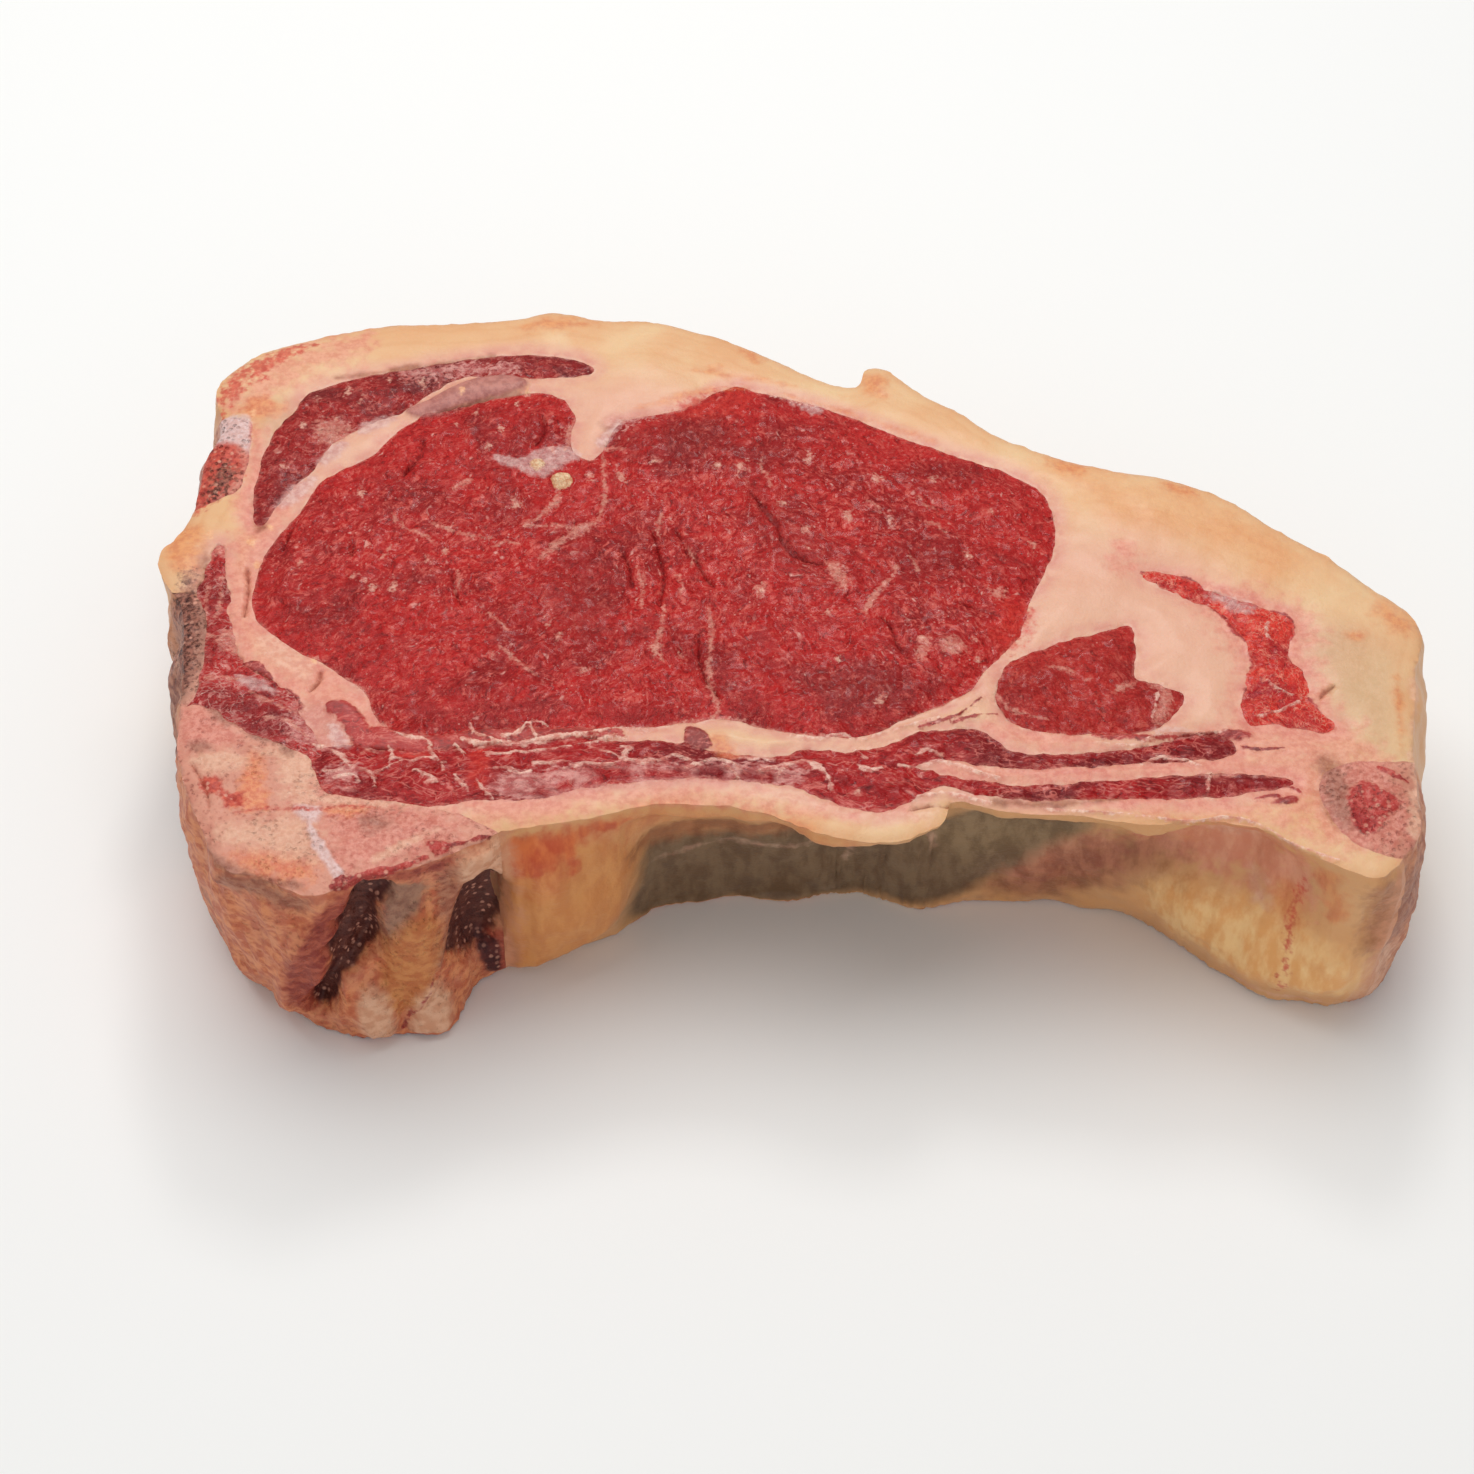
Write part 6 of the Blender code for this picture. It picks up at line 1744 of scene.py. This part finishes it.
metres = (place - (*PLAN_ORIGIN, 0)) * MM
for index, name in enumerate(names):
    mine = faces[owner == index]
    sides = [triangle for a, b in region_edges[index].tolist() for triangle in wall_between(a, b)]
    triangles = np.vstack([mine, mine[:, ::-1] + len(plan), np.array(sides)])
    used, triangles = np.unique(triangles, return_inverse=True)
    mesh = bpy.data.meshes.new(name + "_flesh")
    mesh.from_pydata(metres[used].tolist(), [], triangles.reshape(-1, 3).tolist())
    mesh.polygons.foreach_set("use_smooth", np.ones(len(mesh.polygons), bool))
    mesh.set_sharp_from_angle(angle=SHARP_ANGLE)
    for kind, numbers in values.items():
        stored = mesh.attributes.new(kind, "FLOAT", "POINT")
        stored.data.foreach_set("value", numbers[used].astype(np.float32))
    mesh.materials.append(finishes[name])
    piece = bpy.data.objects.new(name + "_flesh", mesh)
    bpy.context.collection.objects.link(piece)
    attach(piece, "root")
    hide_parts(name)
    print(piece.name, len(mesh.polygons), "triangles")

# %% [markdown]
# ## Light and floor
# A large soft lamp over and behind the slice lights the cut face and lets the front wall fall off a
# little, as a window would, and a small one behind it gives the wet face its glints.

# %% Light and floor
DAYLIGHT = 0.46
FLOOR_HALF = 3.0


def softbox(name, watts, size, at, aim=(0, 0, 0.02)):
    """A square area lamp that looks at a point."""
    lamp = bpy.data.lights.new(name, "AREA")
    lamp.energy = watts
    lamp.size = size
    ob = bpy.data.objects.new(name, lamp)
    ob.location = at
    ob.rotation_euler = (Vector(aim) - Vector(at)).to_track_quat("-Z", "Y").to_euler()
    bpy.context.collection.objects.link(ob)


softbox("overhead", 6.3, 0.9, (-0.15, 0.25, 0.95))
softbox("glint", 1.6, 0.2, (0.06, 0.64, 0.86))
softbox("front_fill", 1.2, 0.8, (0.3, -0.9, 0.45))
world = bpy.data.worlds.new("studio")
world.use_nodes = True
world.node_tree.nodes["Background"].inputs["Color"].default_value = (1, 1, 1, 1)
world.node_tree.nodes["Background"].inputs["Strength"].default_value = DAYLIGHT
bpy.context.scene.world = world
bpy.context.scene.view_settings.view_transform = "Standard"

floor_mesh = bpy.data.meshes.new("floor")
floor_corners = [
    (-FLOOR_HALF, -FLOOR_HALF, 0), (FLOOR_HALF, -FLOOR_HALF, 0),
    (FLOOR_HALF, FLOOR_HALF, 0), (-FLOOR_HALF, FLOOR_HALF, 0),
]
floor_mesh.from_pydata(floor_corners, [], [(0, 1, 2, 3)])
paper = bpy.data.materials.new("paper")
paper.use_nodes = True
paper.node_tree.nodes["Principled BSDF"].inputs["Base Color"].default_value = tone(238, 238, 236)
paper.node_tree.nodes["Principled BSDF"].inputs["Roughness"].default_value = 0.7
floor_mesh.materials.append(paper)
floor = bpy.data.objects.new("floor", floor_mesh)
bpy.context.collection.objects.link(floor)
